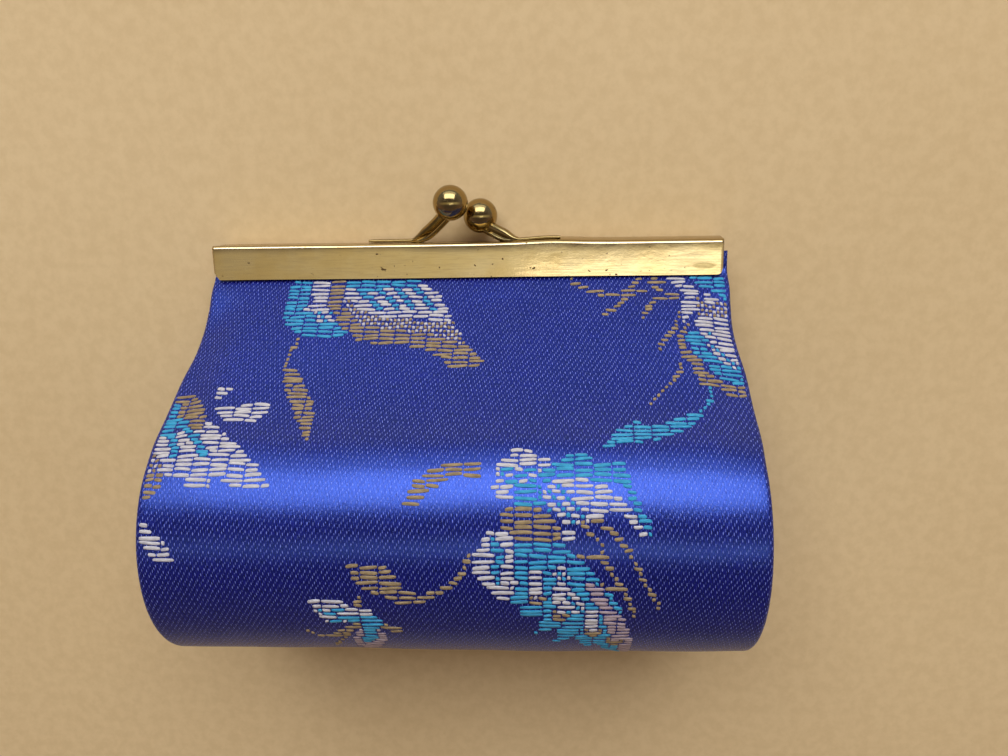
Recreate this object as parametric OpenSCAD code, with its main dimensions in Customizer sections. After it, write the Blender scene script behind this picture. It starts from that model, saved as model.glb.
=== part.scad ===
// Coin purse with a straight kiss-lock frame, lying on its back.
// X runs along the frame, Y points from the bottom of the pouch to the clasp,
// Z points up through the front panel. The origin is on the table, under the middle.

/* [Pouch] */
// Width of the brocade strip that makes the front, the bottom and the back
pouch_w = 90; // [84:1:100]
// Radius of the round belly and bottom
belly_r = 21; // [19.5:0.5:22.5]
// Length from the bottom of the pouch to the top of the frame
body_len = 66; // [64:0.5:70]
// Thickness of the brocade, which is also folded round the board's edges
brocade_t = 0.5; // [0.4:0.05:0.6]
// Thickness of the stiffening board
board_t = 1; // [0.8:0.05:1]
// Thickness of the lining
lining_t = 0.35; // [0.3:0.05:0.4]
// Depth of the brocade's turned-in edge
turning_w = 7; // [5:0.5:9]
// How far the side panels sit inside the strip's edges
side_inset = 3; // [3:0.1:3.4]

/* [Frame] */
// Length of each bar
bar_len = 89; // [83:1:99]
// Height of each bar
bar_h = 6; // [5.5:0.1:6.5]
// Depth of each bar, from its face to the hinge plane
bar_d = 4.1; // [4:0.05:4.3]
// Thickness of the bar's sheet metal
sheet_t = 0.6; // [0.5:0.05:0.65]
// Radius of the bar's top edges
bar_r = 1.1; // [0.9:0.1:1.3]
// Distance from the top of the bars down to the rivets
hinge_drop = 21; // [20:0.5:22]
// Thickness of the flat side arms
arm_t = 0.7; // [0.6:0.05:0.7]
// Width of the side arms
arm_w = 2.6; // [2.4:0.1:2.8]
// Radius of the rivets' shanks
rivet_r = 0.95; // [0.8:0.05:1]

/* [Clasp] */
// Diameter of the two balls
ball_d = 5.9; // [5.6:0.1:5.9]
// Distance between the balls along the frame
ball_gap_x = 5.7; // [5.7:0.05:6]
// Length of the feet that are fixed to the bars
foot_len = 9.5; // [8:0.5:11]

/* [Hidden] */

$fn = 48;
brass = "#CDB46C";
royal = "#2036A8";
navy = "#27306E";
buff = "#C9B48C";
thread_blue = "#3A50C0";

// Clearances
half_gap = 0.1;      // between each bar and the hinge plane
layer_gap = 0.02;    // between glued layers
run_gap = 0.06;      // radial, between a rivet and the arm that turns on it
plate_gap = 0.1;     // between the two arms, and between an arm and a rivet's head
seam_gap = 0.1;      // between the body and the neck, where the cloth flexes

// Balls: heights above the bars' top, and heights above the table
back_ball_rise = 6.9;
front_ball_rise = 4.7;
back_ball_z = 7.25;
front_ball_z = 3.2;

// Places along Y
total_len = body_len + back_ball_rise + ball_d / 2;
bar_top = total_len / 2 - back_ball_rise - ball_d / 2;
mouth = bar_top - bar_h;
hinge_y = bar_top - hinge_drop;
belly_y = -total_len / 2 + belly_r;

// Places along Z
hinge_z = bar_d + half_gap;
front_face = 2 * hinge_z;
front_back_face = hinge_z + half_gap;
back_cloth_z = sheet_t + 0.05;
front_cloth_z = front_face - sheet_t - 0.05;

// Places along X
side_x = pouch_w / 2 - side_inset;
back_arm_x = side_x + 0.8;
front_arm_x = back_arm_x + arm_t + plate_gap;
cloth_in_bar = 2 * back_arm_x - 0.4;
ball_x = 0.35;

// Outline of the pouch
neck_slope = 42;
neck_bend_r = 2.5;
belly_end = 32;
neck_pull_belly = 7;
neck_pull_mouth = 15;
board_stop = 4.5;
turn_depth = brocade_t + board_t + 2 * layer_gap;
inner_depth = turn_depth + 0.4;

function unit(v) = v / norm(v);
function clamp01(a) = max(0, min(1, a));
function bezier(a, b, c, d, t) =
    a * pow(1 - t, 3) + b * 3 * t * pow(1 - t, 2) + c * 3 * t * t * (1 - t) + d * pow(t, 3);
function on_belly(a) = [belly_y + belly_r * cos(a), belly_r + belly_r * sin(a)];

// The strip's outer surface as [y, z], from the back bar round the belly to the front bar
back_ease = 9;
back_in = [[bar_top - 1.2, back_cloth_z], [mouth + 1, back_cloth_z]];
back_run = [
    for (i = [0:1:6]) [mouth - 0.4 - back_ease * i / 6, back_cloth_z * (1 + cos(30 * i)) / 2]
];
flat_from = mouth - 0.4 - back_ease;
flat_steps = 12;
back_flat = [
    for (i = [1:1:flat_steps - 1]) [flat_from + (belly_y - flat_from) * i / flat_steps, 0]
];
belly_steps = 52;
belly_arc = [for (i = [0:1:belly_steps]) on_belly(270 - (270 - belly_end) * i / belly_steps)];
neck_foot = [mouth - 0.6 - neck_bend_r * sin(neck_slope),
             front_cloth_z + neck_bend_r * (1 - cos(neck_slope))];
neck_run = [
    for (i = [1:1:10]) bezier(
        on_belly(belly_end),
        on_belly(belly_end) + neck_pull_belly * [sin(belly_end), -cos(belly_end)],
        neck_foot + neck_pull_mouth * [-cos(neck_slope), sin(neck_slope)],
        neck_foot, i / 10)
];
neck_bend = [
    for (i = [1:1:4]) [mouth - 0.6 - neck_bend_r * sin(neck_slope * (1 - i / 4)),
                       front_cloth_z + neck_bend_r * (1 - cos(neck_slope * (1 - i / 4)))]
];
front_in = [[mouth + 1, front_cloth_z], [bar_top - 1.2, front_cloth_z]];

body_line = concat(back_in, back_run, back_flat, belly_arc);
whole_line = concat(body_line, neck_run, neck_bend, front_in);
last_body = len(body_line) - 1;
last_line = len(whole_line) - 1;

// A point of the strip's outer surface moved inwards by d
function inward(i, d) =
    let (a = whole_line[max(0, i - 1)], b = whole_line[min(last_line, i + 1)], t = unit(b - a))
    whole_line[i] + d * [t[1], -t[0]];

// The first points that lie clear of the bars, so that the board fits there
board_first = [for (i = [0:1:last_body]) if (whole_line[i][0] < mouth - board_stop) i][0];
board_last = [for (i = [last_body:1:last_line]) if (whole_line[i][0] < mouth - board_stop) i];
neck_last = board_last[len(board_last) - 1];

// Depth of the lining, which comes up against the brocade where it enters a bar
function lining_depth(i) =
    brocade_t + layer_gap
    + (inner_depth - brocade_t) * clamp01((mouth - 1 - whole_line[i][0]) / (board_stop - 1));

// A band between two depths, from point a to point b
function band(a, b, d0, d1) = concat(
    [for (i = [a:1:b]) inward(i, d0)],
    [for (i = [b:-1:a]) inward(i, d1)]
);
function lining_band(a, b) = concat(
    [for (i = [a:1:b]) inward(i, lining_depth(i))],
    [for (i = [b:-1:a]) inward(i, lining_depth(i) + lining_t)]
);

module along_x(width, x = 0) {
    translate([x, 0, 0]) rotate([90, 0, 90]) linear_extrude(width, center = true) children();
}

module both_edges() {
    children();
    mirror([1, 0, 0]) children();
}

// Keeps the part of the cloth that fits between the arms where it enters a bar
module trimmed_in_bar() {
    difference() {
        children();
        both_edges()
            translate([cloth_in_bar / 2, mouth - 0.6, -1]) cube([10, bar_h + 2, front_face + 4]);
    }
}

// The brocade with its edges folded round the board, from point a to point b
module folded_brocade(a, b, fold_a, fold_b) {
    along_x(pouch_w) polygon(band(a, b, 0, brocade_t));
    both_edges() {
        along_x(brocade_t, pouch_w / 2 - brocade_t / 2)
            polygon(band(fold_a, fold_b, brocade_t / 2, inner_depth));
        along_x(turning_w, pouch_w / 2 - turning_w / 2)
            polygon(band(fold_a, fold_b, turn_depth, inner_depth));
    }
}

module body_brocade() {
    color(royal) trimmed_in_bar()
        folded_brocade(0, last_body, board_first, last_body);
}

// The neck is moved along the outline's end by a hair, so that it can flex
module neck_brocade() {
    color(royal) trimmed_in_bar() at_seam()
        folded_brocade(last_body, last_line, last_body, neck_last);
}

module at_seam() {
    difference() {
        children();
        along_x(pouch_w + 2) translate(on_belly(belly_end)) rotate(belly_end - 90)
            translate([-3, -belly_r / 4]) square([3 + seam_gap, belly_r / 3]);
    }
}

module board(a, b) {
    along_x(pouch_w - 2 * brocade_t - 2 * layer_gap)
        polygon(band(a, b, brocade_t + layer_gap, brocade_t + layer_gap + board_t));
}

module body_board() {
    color(buff) board(board_first, last_body);
}

module neck_board() {
    color(buff) at_seam() board(last_body, neck_last);
}

module lining(a, b) {
    along_x(2 * (side_x - 0.6 - lining_t) - 0.1) polygon(lining_band(a, b));
}

module body_lining() {
    color(navy) lining(0, last_body);
}

module neck_lining() {
    color(navy) at_seam() lining(last_body, last_line);
}

// Side panels: the body part below and behind the hinge, and the fold in front of it
fold_top = mouth - 0.9;
side_back = concat(
    [for (i = [0:1:last_body]) if (whole_line[i][0] < fold_top) inward(i, inner_depth + layer_gap)],
    [[hinge_y, hinge_z], [fold_top, hinge_z - 0.6]]
);
side_front = concat(
    [for (i = [last_body:1:last_line]) if (whole_line[i][0] < mouth - board_stop)
        inward(i, inner_depth + layer_gap)],
    [[mouth - board_stop, front_cloth_z - 0.4], [hinge_y + 0.6, hinge_z + 0.4]]
);

module side_plate(thickness, depth, side) {
    along_x(thickness, side * (side_x - depth - thickness / 2)) children();
}

module side_brocade(side) {
    color(royal) side_plate(0.6, 0, side) polygon(side_back);
}

module side_lining(side) {
    color(navy) side_plate(lining_t, 0.6 + layer_gap, side) polygon(side_back);
}

module gusset_fold(side) {
    color(royal) at_seam() side_plate(0.6, 0, side) polygon(side_front);
}

module fold_lining(side) {
    color(navy) at_seam() side_plate(lining_t, 0.6 + layer_gap, side) polygon(side_front);
}

// Whip stitches that hold each side panel to the strip's turned edges
stitch_r = 0.18;
stitch_depth = inner_depth + 0.4;
stitch_points = [for (i = [board_first:1:last_body - 1]) i];

module seam_thread(side) {
    color(thread_blue)
        for (i = stitch_points) {
            a = inward(i, stitch_depth);
            b = inward(i + 1, stitch_depth);
            run = b - a;
            turn = atan2(run[1], run[0]);
            translate([side * (side_x + 0.25), a[0], a[1]])
                rotate([turn, 0, 0]) translate([0, norm(run) * 0.15, 0])
                    rotate([-90, 0, 0]) cylinder(h = norm(run) * 0.7, r = stitch_r, $fn = 16);
        }
}

// A folded bar: two walls and a rounded top, open towards the pouch
module bar_outline(d, h, r) {
    square([h - r, d]);
    translate([0, r]) square([h, d - 2 * r]);
    for (z = [r, d - r]) translate([h - r, z]) circle(r);
}

module bar_section() {
    difference() {
        bar_outline(bar_d, bar_h, bar_r);
        translate([-1, sheet_t])
            bar_outline(bar_d - 2 * sheet_t, bar_h - sheet_t + 1, bar_r - sheet_t);
    }
}

module bar(z) {
    along_x(bar_len) translate([mouth, z]) bar_section();
}

// A corner cut off a bar's wall, as far along and up as given
module corner_prism(side, along, up, z) {
    translate([0, 0, z - 0.1]) linear_extrude(sheet_t + 1)
        polygon([
            [side * (bar_len / 2 - along), mouth - 1],
            [side * (bar_len / 2 - along), mouth],
            [side * bar_len / 2, mouth + up],
            [side * (bar_len / 2 + 1), mouth + up],
            [side * (bar_len / 2 + 1), mouth - 1]
        ]);
}

module front_bar() {
    color(brass) difference() {
        bar(front_back_face);
        corner_prism(1, 1.1, 1.0, front_face - sheet_t);
        corner_prism(-1, 2.2, 1.1, front_face - sheet_t);
    }
}

module back_bar() {
    color(brass) difference() {
        bar(0);
        for (side = [1, -1]) corner_prism(side, 1.2, 1.1, 0 - sheet_t);
    }
}

// Side arms: flat strips from inside the bar's end down to the eye round the rivet
eye_r = 2;
arm_top = bar_top - 1.3;
arm_outer_z = back_cloth_z + brocade_t + 0.15;
arm_inner_z = hinge_z - 0.75;
arm_waist_y = mouth - board_stop;
arm_waist_z = arm_outer_z + 1.2;

module arm_outline() {
    eye = [for (a = [-45:-10:-315]) [hinge_y + eye_r * cos(a), hinge_z + eye_r * sin(a)]];
    polygon(concat(
        [[arm_top, arm_outer_z], [mouth, arm_outer_z], [arm_waist_y, arm_waist_z]], eye,
        [[arm_waist_y, arm_waist_z + arm_w - 0.4], [mouth, arm_inner_z], [arm_top, arm_inner_z]]
    ));
}

module arm(x, hole_r) {
    along_x(arm_t, x) difference() {
        arm_outline();
        translate([hinge_y, hinge_z]) circle(hole_r);
    }
}

module front_arm(side) {
    color(brass) translate([0, 0, 2 * hinge_z]) mirror([0, 0, 1])
        arm(side * (front_arm_x + arm_t / 2), rivet_r + run_gap);
}

module back_arm(side) {
    color(brass) arm(side * (back_arm_x + arm_t / 2), rivet_r + layer_gap);
}

// Rivets: a flat inner head, the shank and a domed outer head
rivet_head_r = 1.6;
rivet_head_h = 0.55;

module rivet(side) {
    inner = back_arm_x - 0.05;
    outer = front_arm_x + arm_t + 0.05;
    color(brass) translate([0, hinge_y, hinge_z]) scale_side(side) {
        translate([inner - 0.5, 0, 0]) rotate([0, 90, 0]) cylinder(h = 0.5, r = rivet_head_r);
        translate([inner - 0.1, 0, 0]) rotate([0, 90, 0])
            cylinder(h = outer - inner + 0.2, r = rivet_r);
        translate([outer, 0, 0]) rotate([0, 90, 0])
            cylinder(h = rivet_head_h, r1 = rivet_head_r, r2 = rivet_head_r * 0.6);
    }
}

module scale_side(side) {
    if (side > 0) children();
    else mirror([1, 0, 0]) children();
}

// Clasp: each ball stands on a pressed stem, whose foot lies on top of its bar
foot_t = 0.7;
foot_w = 2.4;
stem_r = 0.95;
foot_in = 6.6;

module stem(side, bar_z, ball) {
    foot_y = bar_top + 0.03;
    base = [side * (foot_in + 1.2), foot_y + foot_t / 2, bar_z];
    tip = ball + unit(base - ball) * (ball_d / 2 + 0.02);
    difference() {
        union() {
            translate([side * (foot_in + foot_len / 2), foot_y + foot_t / 2, bar_z])
                cube([foot_len, foot_t, foot_w], center = true);
            translate([side * (foot_in + foot_len), foot_y, bar_z]) rotate([-90, 0, 0])
                cylinder(h = foot_t, r = foot_w / 2);
            hull() {
                translate(base) scale([1.9, 0.4, 1]) sphere(r = foot_w / 2, $fn = 24);
                translate(base + (tip - base) * 0.35 + [-side * 0.2, 0.1, 0])
                    sphere(r = stem_r, $fn = 24);
            }
            rod(base + (tip - base) * 0.3, ball, stem_r);
        }
        translate(ball) sphere(d = ball_d + 0.04, $fn = 64);
        translate([-50, foot_y - 10, -10]) cube([100, 10, 40]);
    }
}

module rod(a, b, r) {
    d = b - a;
    translate(a) rotate([0, acos(d[2] / norm(d)), atan2(d[1], d[0])]) cylinder(h = norm(d), r = r);
}

front_ball_at = [ball_x + ball_gap_x / 2, bar_top + front_ball_rise, front_ball_z];
back_ball_at = [ball_x - ball_gap_x / 2, bar_top + back_ball_rise, back_ball_z];

module front_stem() {
    color(brass) stem(1, front_back_face + bar_d / 2, front_ball_at);
}

module back_stem() {
    color(brass) stem(-1, bar_d / 2, back_ball_at);
}

module front_ball() {
    color(brass) translate(front_ball_at) sphere(d = ball_d, $fn = 64);
}

module back_ball() {
    color(brass) translate(back_ball_at) sphere(d = ball_d, $fn = 64);
}

// Twisted paper cord that wedges the cloth in each bar
cord_r = 0.75;

module packing_cord(z) {
    color(buff) translate([-cloth_in_bar / 2 + 0.1, bar_top - 2.1, z]) rotate([0, 90, 0])
        cylinder(h = cloth_in_bar - 0.2, r = cord_r);
}

module front_packing_cord() {
    packing_cord(front_back_face + sheet_t + 0.05 + cord_r);
}

module back_packing_cord() {
    packing_cord(bar_d - sheet_t - 0.05 - cord_r);
}

front_bar();
back_bar();
front_arm(-1);  // front_arm_left
front_arm(1);  // front_arm_right
back_arm(-1);  // back_arm_left
back_arm(1);  // back_arm_right
rivet(-1);  // rivet_left
rivet(1);  // rivet_right
front_stem();
back_stem();
front_ball();
back_ball();
front_packing_cord();
back_packing_cord();
body_brocade();
neck_brocade();
body_board();
neck_board();
body_lining();
neck_lining();
side_brocade(-1);  // side_brocade_left
side_brocade(1);  // side_brocade_right
gusset_fold(-1);  // gusset_fold_left
gusset_fold(1);  // gusset_fold_right
side_lining(-1);  // side_lining_left
side_lining(1);  // side_lining_right
fold_lining(-1);  // fold_lining_left
fold_lining(1);  // fold_lining_right
seam_thread(-1);  // seam_thread_left
seam_thread(1);  // seam_thread_right
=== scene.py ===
"""Looks of a brocade coin purse with a straight kiss-lock frame, lying on its back.

Lengths are in millimetres until a mesh is made. X runs along the frame, Y towards the clasp and Z up.
The cloth is described by x, across the strip, and s, the length along it from the front bar's mouth
over the belly to the back bar.
"""

import math
import random

import bpy
import numpy as np
from mathutils import Euler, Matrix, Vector


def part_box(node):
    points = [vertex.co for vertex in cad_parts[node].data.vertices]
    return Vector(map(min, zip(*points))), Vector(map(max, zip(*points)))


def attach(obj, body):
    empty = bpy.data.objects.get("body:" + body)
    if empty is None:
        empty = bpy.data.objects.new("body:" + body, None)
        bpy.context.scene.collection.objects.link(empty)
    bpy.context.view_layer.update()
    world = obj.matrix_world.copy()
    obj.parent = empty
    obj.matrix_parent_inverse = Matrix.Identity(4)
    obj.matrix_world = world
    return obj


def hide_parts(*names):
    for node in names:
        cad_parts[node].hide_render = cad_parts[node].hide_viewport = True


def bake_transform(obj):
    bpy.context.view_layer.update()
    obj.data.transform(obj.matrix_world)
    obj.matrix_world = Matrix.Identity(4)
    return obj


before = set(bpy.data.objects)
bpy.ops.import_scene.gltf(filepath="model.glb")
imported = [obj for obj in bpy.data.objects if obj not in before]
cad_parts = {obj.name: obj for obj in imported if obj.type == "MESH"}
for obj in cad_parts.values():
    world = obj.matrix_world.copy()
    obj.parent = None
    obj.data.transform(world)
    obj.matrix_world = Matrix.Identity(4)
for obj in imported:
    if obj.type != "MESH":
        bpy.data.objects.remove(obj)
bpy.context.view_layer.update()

MM = 0.001
RNG = random.Random(11)

# ---- Sizes, from the frame and from the purse's pattern ----


def node_box(name):
    """A CAD node's lowest and highest corners, in millimetres."""
    low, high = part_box(name)
    return [v / MM for v in low], [v / MM for v in high]


STRIP_LOW, STRIP_HIGH = node_box("body_brocade")
BAR_LOW, BAR_HIGH = node_box("front_bar")
BACK_LOW, BACK_HIGH = node_box("back_bar")

HALF_W = STRIP_HIGH[0]
BELLY_R = round(STRIP_HIGH[2], 1) / 2
BELLY_Y = STRIP_LOW[1] + BELLY_R
BAR_TOP = BAR_HIGH[1]
MOUTH = BAR_LOW[1]
BAR_FACE = BAR_HIGH[2]
HALF_BAR = BAR_HIGH[0]
SHEET = 0.6         # brass of the bars
CLOTH = 0.45        # brocade of the strip
WALL = 1.94         # strip, board and turned edge together
LINING = 0.3
PANEL_CLOTH = 0.55  # brocade of a side panel, with its backing
TURNING = 7.0
SIDE_X = HALF_W - 3.0
LINING_HALF = SIDE_X - 1.05
BOARD_HALF = HALF_W - 1.2
BOARD_STOP = 5.2    # how far the board ends from a bar
LINING_STOP = 0.4
BOARD_GAP = 0.06
BACK_SHORT = 0.8    # the strip's back end stops short of its outline's end
SIDE_WEAVE_X = 60.0  # the side panels' place in the weave, away from the strip's
BACK_CLOTH_Z = SHEET + 0.05
FRONT_CLOTH_Z = BAR_FACE - SHEET - 0.05

NECK_SLOPE = math.radians(46)
NECK_BEND = 2.5
BELLY_END = math.radians(32)
IN_BAR = 4.6

# The cloth bends with the front frame along a line that leans back: from the gusset fold's rear end,
# at (FOLD_Y, FOLD_Z), to the mouth.
FOLD_Y, FOLD_Z = -25.0, 4.2
FOLD_RISE = 1.0
BEND_LEAN = math.radians(20)
BEND_Y, BEND_Z = math.cos(BEND_LEAN), -math.sin(BEND_LEAN)
BEND_LONG = (MOUTH - 0.6 - FOLD_Y) * BEND_Y + (FRONT_CLOTH_Z + 0.6 - FOLD_Z) * BEND_Z
FOLD_SPAN = MOUTH - 0.6 - FOLD_Y


def smooth(a):
    a = np.clip(a, 0, 1)
    return a * a * (3 - 2 * a)


def cubic(start, pull_a, pull_b, end, t):
    """A point of a Bezier curve."""
    return start * (1 - t) ** 3 + pull_a * 3 * t * (1 - t) ** 2 + pull_b * 3 * t * t * (1 - t) + end * t ** 3


# ---- The strip's outline ----


def belly_point(angle):
    return (BELLY_Y + BELLY_R * math.cos(angle), BELLY_R + BELLY_R * math.sin(angle))


def outline():
    """The strip's outer line as (y, z), from inside the front bar to inside the back bar."""
    bend_y = MOUTH + NECK_BEND * math.sin(NECK_SLOPE)
    bend_z = FRONT_CLOTH_Z - NECK_BEND * (1 - math.cos(NECK_SLOPE))
    points = [(bend_y + (MOUTH + IN_BAR - 0.6 - bend_y) * i / 6, bend_z) for i in range(6, 0, -1)]
    for i in range(7):
        a = NECK_SLOPE * i / 6
        points.append((bend_y - NECK_BEND * math.sin(a), bend_z + NECK_BEND * (1 - math.cos(a))))
    foot = np.array(points[-1])
    top = np.array(belly_point(BELLY_END))
    pull_foot = foot + 15 * np.array([-math.cos(NECK_SLOPE), math.sin(NECK_SLOPE)])
    pull_top = top + 7 * np.array([math.sin(BELLY_END), -math.cos(BELLY_END)])
    for i in range(1, 41):
        t = i / 40
        points.append(tuple(cubic(foot, pull_foot, pull_top, top, t)))
    turn = math.radians(270) - BELLY_END
    points += [belly_point(BELLY_END + turn * i / 160) for i in range(1, 161)]
    flat_to = MOUTH - 9.4
    points += [(BELLY_Y + (flat_to - BELLY_Y) * i / 20, 0.0) for i in range(1, 21)]
    for i in range(1, 9):
        points.append((flat_to + 9 * i / 8, BACK_CLOTH_Z * (1 - math.cos(math.pi * i / 8)) / 2))
    points += [(MOUTH - 0.4 + (IN_BAR - 0.2) * i / 4, BACK_CLOTH_Z) for i in range(1, 5)]
    return np.array(points)


LINE = outline()
STEPS = np.linalg.norm(np.diff(LINE, axis=0), axis=1)
RUN = np.concatenate([[0], np.cumsum(STEPS)])
RUN -= RUN[12]
TANGENT = np.gradient(LINE, RUN, axis=0)
TANGENT /= np.linalg.norm(TANGENT, axis=1)[:, None]
NORMAL_IN = np.column_stack([TANGENT[:, 1], -TANGENT[:, 0]]) * -1
S_START, S_END = RUN[0], RUN[-1]
S_TABLE = float(RUN[np.argmin(np.abs(LINE[:, 0] - BELLY_Y) + LINE[:, 1])])
S_MOUTH_BACK = float(RUN[-5])


def belly_run(angle):
    """s where the outline passes the belly at the given angle in degrees."""
    return float(RUN[np.argmin(np.linalg.norm(LINE - np.array(belly_point(math.radians(angle))), axis=1))])


S_SPLIT = belly_run(230)


def wall_depth(s):
    """Thickness of the folded strip at s: the board stops a few millimetres short of each bar."""
    front = smooth((s - 2.0) / 4.0)
    back = smooth((S_MOUTH_BACK - 1.5 - s) / 4.0)
    return 0.62 + (WALL - 0.62) * front * back


def crown(x, s):
    """How far the cloth stands inwards of its plain outline: edges curl back and the board waves."""
    edge = smooth((np.abs(x) - 36.5) / 8.5) ** 1.5
    neck = smooth((s - 1) / 10) * smooth((44 - s) / 22)
    back = smooth((s - S_TABLE + 6) / 8)
    curl = edge * (0.12 + 1.1 * neck) * (1 - back)
    wave = 0.10 * np.sin(x * 0.11 + 0.6) * np.sin(s * 0.13 + 1.1) + 0.05 * np.sin(x * 0.31 + s * 0.09)
    quiet = smooth((s - 1) / 6) * (1 - back) * smooth((S_TABLE - 8 - s) / 10)
    return curl + wave * quiet


def cloth(x, s, depth):
    """Points of the strip at x, s and depth below its outer face, as an array of (x, y, z)."""
    x, s, depth = np.broadcast_arrays(np.asarray(x, float), np.asarray(s, float), np.asarray(depth, float))
    down = depth + crown(x, s)
    y = np.interp(s, RUN, LINE[:, 0]) + down * np.interp(s, RUN, NORMAL_IN[:, 0])
    z = np.interp(s, RUN, LINE[:, 1]) + down * np.interp(s, RUN, NORMAL_IN[:, 1])
    return np.stack([x, y, z], axis=-1)


# ---- Mesh helpers ----


def make_object(name, points, faces, material, crease=65, uv=None):
    """A mesh object from points in millimetres, with edges sharper than crease degrees left sharp.

    uv holds (x, s) of each point, in millimetres.
    """
    mesh = bpy.data.meshes.new(name)
    mesh.from_pydata((np.asarray(points) * MM).tolist(), [], faces)
    if uv is not None:
        layer = mesh.uv_layers.new(name="weave")
        loops = np.zeros(len(mesh.loops), int)
        mesh.loops.foreach_get("vertex_index", loops)
        layer.data.foreach_set("uv", np.asarray(uv, float)[loops].ravel())
    mesh.polygons.foreach_set("use_smooth", [True] * len(mesh.polygons))
    mesh.validate()
    if crease:
        mesh.set_sharp_from_angle(angle=math.radians(crease))
    obj = bpy.data.objects.new(name, mesh)
    bpy.context.scene.collection.objects.link(obj)
    mesh.materials.append(material)
    return obj


def grid_faces(rows, columns, close_columns=False, start=0):
    """Quads of a grid of points stored row by row."""
    faces = []
    last = columns if close_columns else columns - 1
    for r in range(rows - 1):
        for c in range(last):
            d = (c + 1) % columns
            a = start + r * columns
            b = a + columns
            faces.append((a + c, a + d, b + d, b + c))
    return faces


def loft(rings):
    """Points and faces of closed rings that are joined in turn, with both ends closed."""
    rings = [np.asarray(r, float) for r in rings]
    n = len(rings[0])
    points = np.concatenate(rings)
    faces = grid_faces(len(rings), n, True)
    faces.append(tuple(range(n))[::-1])
    faces.append(tuple(range(len(points) - n, len(points))))
    return points, faces


def join_parts(parts):
    """Points, faces and optional uvs of several parts as one."""
    points, faces, uvs, start = [], [], [], 0
    for part in parts:
        points.append(part[0])
        faces += [tuple(start + i for i in f) for f in part[1]]
        if len(part) > 2:
            uvs.append(part[2])
        start += len(part[0])
    return np.concatenate(points), faces, (np.concatenate(uvs) if uvs else None)


def tube(path, radius, sides):
    """A round tube along a path of points."""
    path = np.asarray(path, float)
    ahead = np.gradient(path, axis=0)
    ahead /= np.linalg.norm(ahead, axis=1)[:, None]
    up = np.array([0.31, 0.47, 0.83])
    angles = 2 * math.pi * np.arange(sides) / sides
    rings = []
    for p, t in zip(path, ahead):
        a = np.cross(t, up)
        a /= np.linalg.norm(a)
        b = np.cross(t, a)
        rings.append(p + radius * (np.cos(angles)[:, None] * a + np.sin(angles)[:, None] * b))
    return loft(rings)


def flip(faces):
    return [tuple(reversed(f)) for f in faces]


# ---- Materials ----


def new_material(name):
    material = bpy.data.materials.new(name)
    material.use_nodes = True
    tree = material.node_tree
    shader = tree.nodes["Principled BSDF"]
    return material, tree, shader


def add(tree, kind, **settings):
    node = tree.nodes.new(kind)
    for key, value in settings.items():
        setattr(node, key, value)
    return node


def math_node(tree, operation, a, b=None):
    node = add(tree, "ShaderNodeMath", operation=operation)
    for i, value in enumerate((a, b)):
        if value is None:
            continue
        if isinstance(value, (int, float)):
            node.inputs[i].default_value = value
        else:
            tree.links.new(value, node.inputs[i])
    return node.outputs[0]


def mix_colour(tree, factor, a, b):
    node = add(tree, "ShaderNodeMix", data_type="RGBA", blend_type="MIX")
    for socket, value in ((node.inputs[0], factor), (node.inputs[6], a), (node.inputs[7], b)):
        if isinstance(value, (int, float)):
            socket.default_value = value
        elif isinstance(value, tuple):
            socket.default_value = (*value, 1)
        else:
            tree.links.new(value, socket)
    return node.outputs[2]


def map_range(tree, value, low, high, to_low=0.0, to_high=1.0):
    node = add(tree, "ShaderNodeMapRange", interpolation_type="SMOOTHSTEP")
    tree.links.new(value, node.inputs[0])
    for i, v in enumerate((low, high, to_low, to_high)):
        node.inputs[1 + i].default_value = v
    return node.outputs[0]


def noise(tree, vector, scale, detail=2.0, roughness=0.5, stretch=None):
    if stretch is not None:
        scaled = add(tree, "ShaderNodeVectorMath", operation="MULTIPLY")
        tree.links.new(vector, scaled.inputs[0])
        scaled.inputs[1].default_value = stretch
        vector = scaled.outputs[0]
    node = add(tree, "ShaderNodeTexNoise")
    node.inputs["Scale"].default_value = scale
    node.inputs["Detail"].default_value = detail
    node.inputs["Roughness"].default_value = roughness
    tree.links.new(vector, node.inputs["Vector"])
    return node.outputs[0]


def bump(tree, height, distance, strength=1.0, under=None):
    """A bump, on top of another one where under is given."""
    node = add(tree, "ShaderNodeBump")
    node.inputs["Strength"].default_value = strength
    node.inputs["Distance"].default_value = distance
    tree.links.new(height, node.inputs["Height"])
    if under is not None:
        tree.links.new(under, node.inputs["Normal"])
    return node.outputs[0]


def times(tree, a, b):
    return math_node(tree, "MULTIPLY", a, b)


def plus(tree, a, b):
    return math_node(tree, "ADD", a, b)


def colour_from(tree, shader, factor, dark, light):
    """Mixes the shader's colour from dark to light."""
    tree.links.new(mix_colour(tree, factor, dark, light), shader.inputs["Base Color"])


def rough_from(tree, shader, roughness):
    tree.links.new(roughness, shader.inputs["Roughness"])


def bump_from(tree, shader, height, distance, strength):
    tree.links.new(bump(tree, height, distance, strength), shader.inputs["Normal"])


def set_inputs(shader, **values):
    """Sets the shader's sockets; an underscore stands for a space in a socket's name."""
    for name, value in values.items():
        shader.inputs[name.replace("_", " ")].default_value = value


def object_coords(tree):
    return add(tree, "ShaderNodeTexCoord").outputs["Object"]


def weave_coords(tree):
    """The cloth's own x and s in millimetres, and both as a vector."""
    uv = add(tree, "ShaderNodeUVMap", uv_map="weave").outputs[0]
    split = add(tree, "ShaderNodeSeparateXYZ")
    tree.links.new(uv, split.inputs[0])
    return split.outputs[0], split.outputs[1], uv


def fraction(tree, value):
    """Distance from the nearest whole number, from -0.5 to 0.5."""
    return math_node(tree, "SUBTRACT", math_node(tree, "FRACT", value), 0.5)


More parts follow.
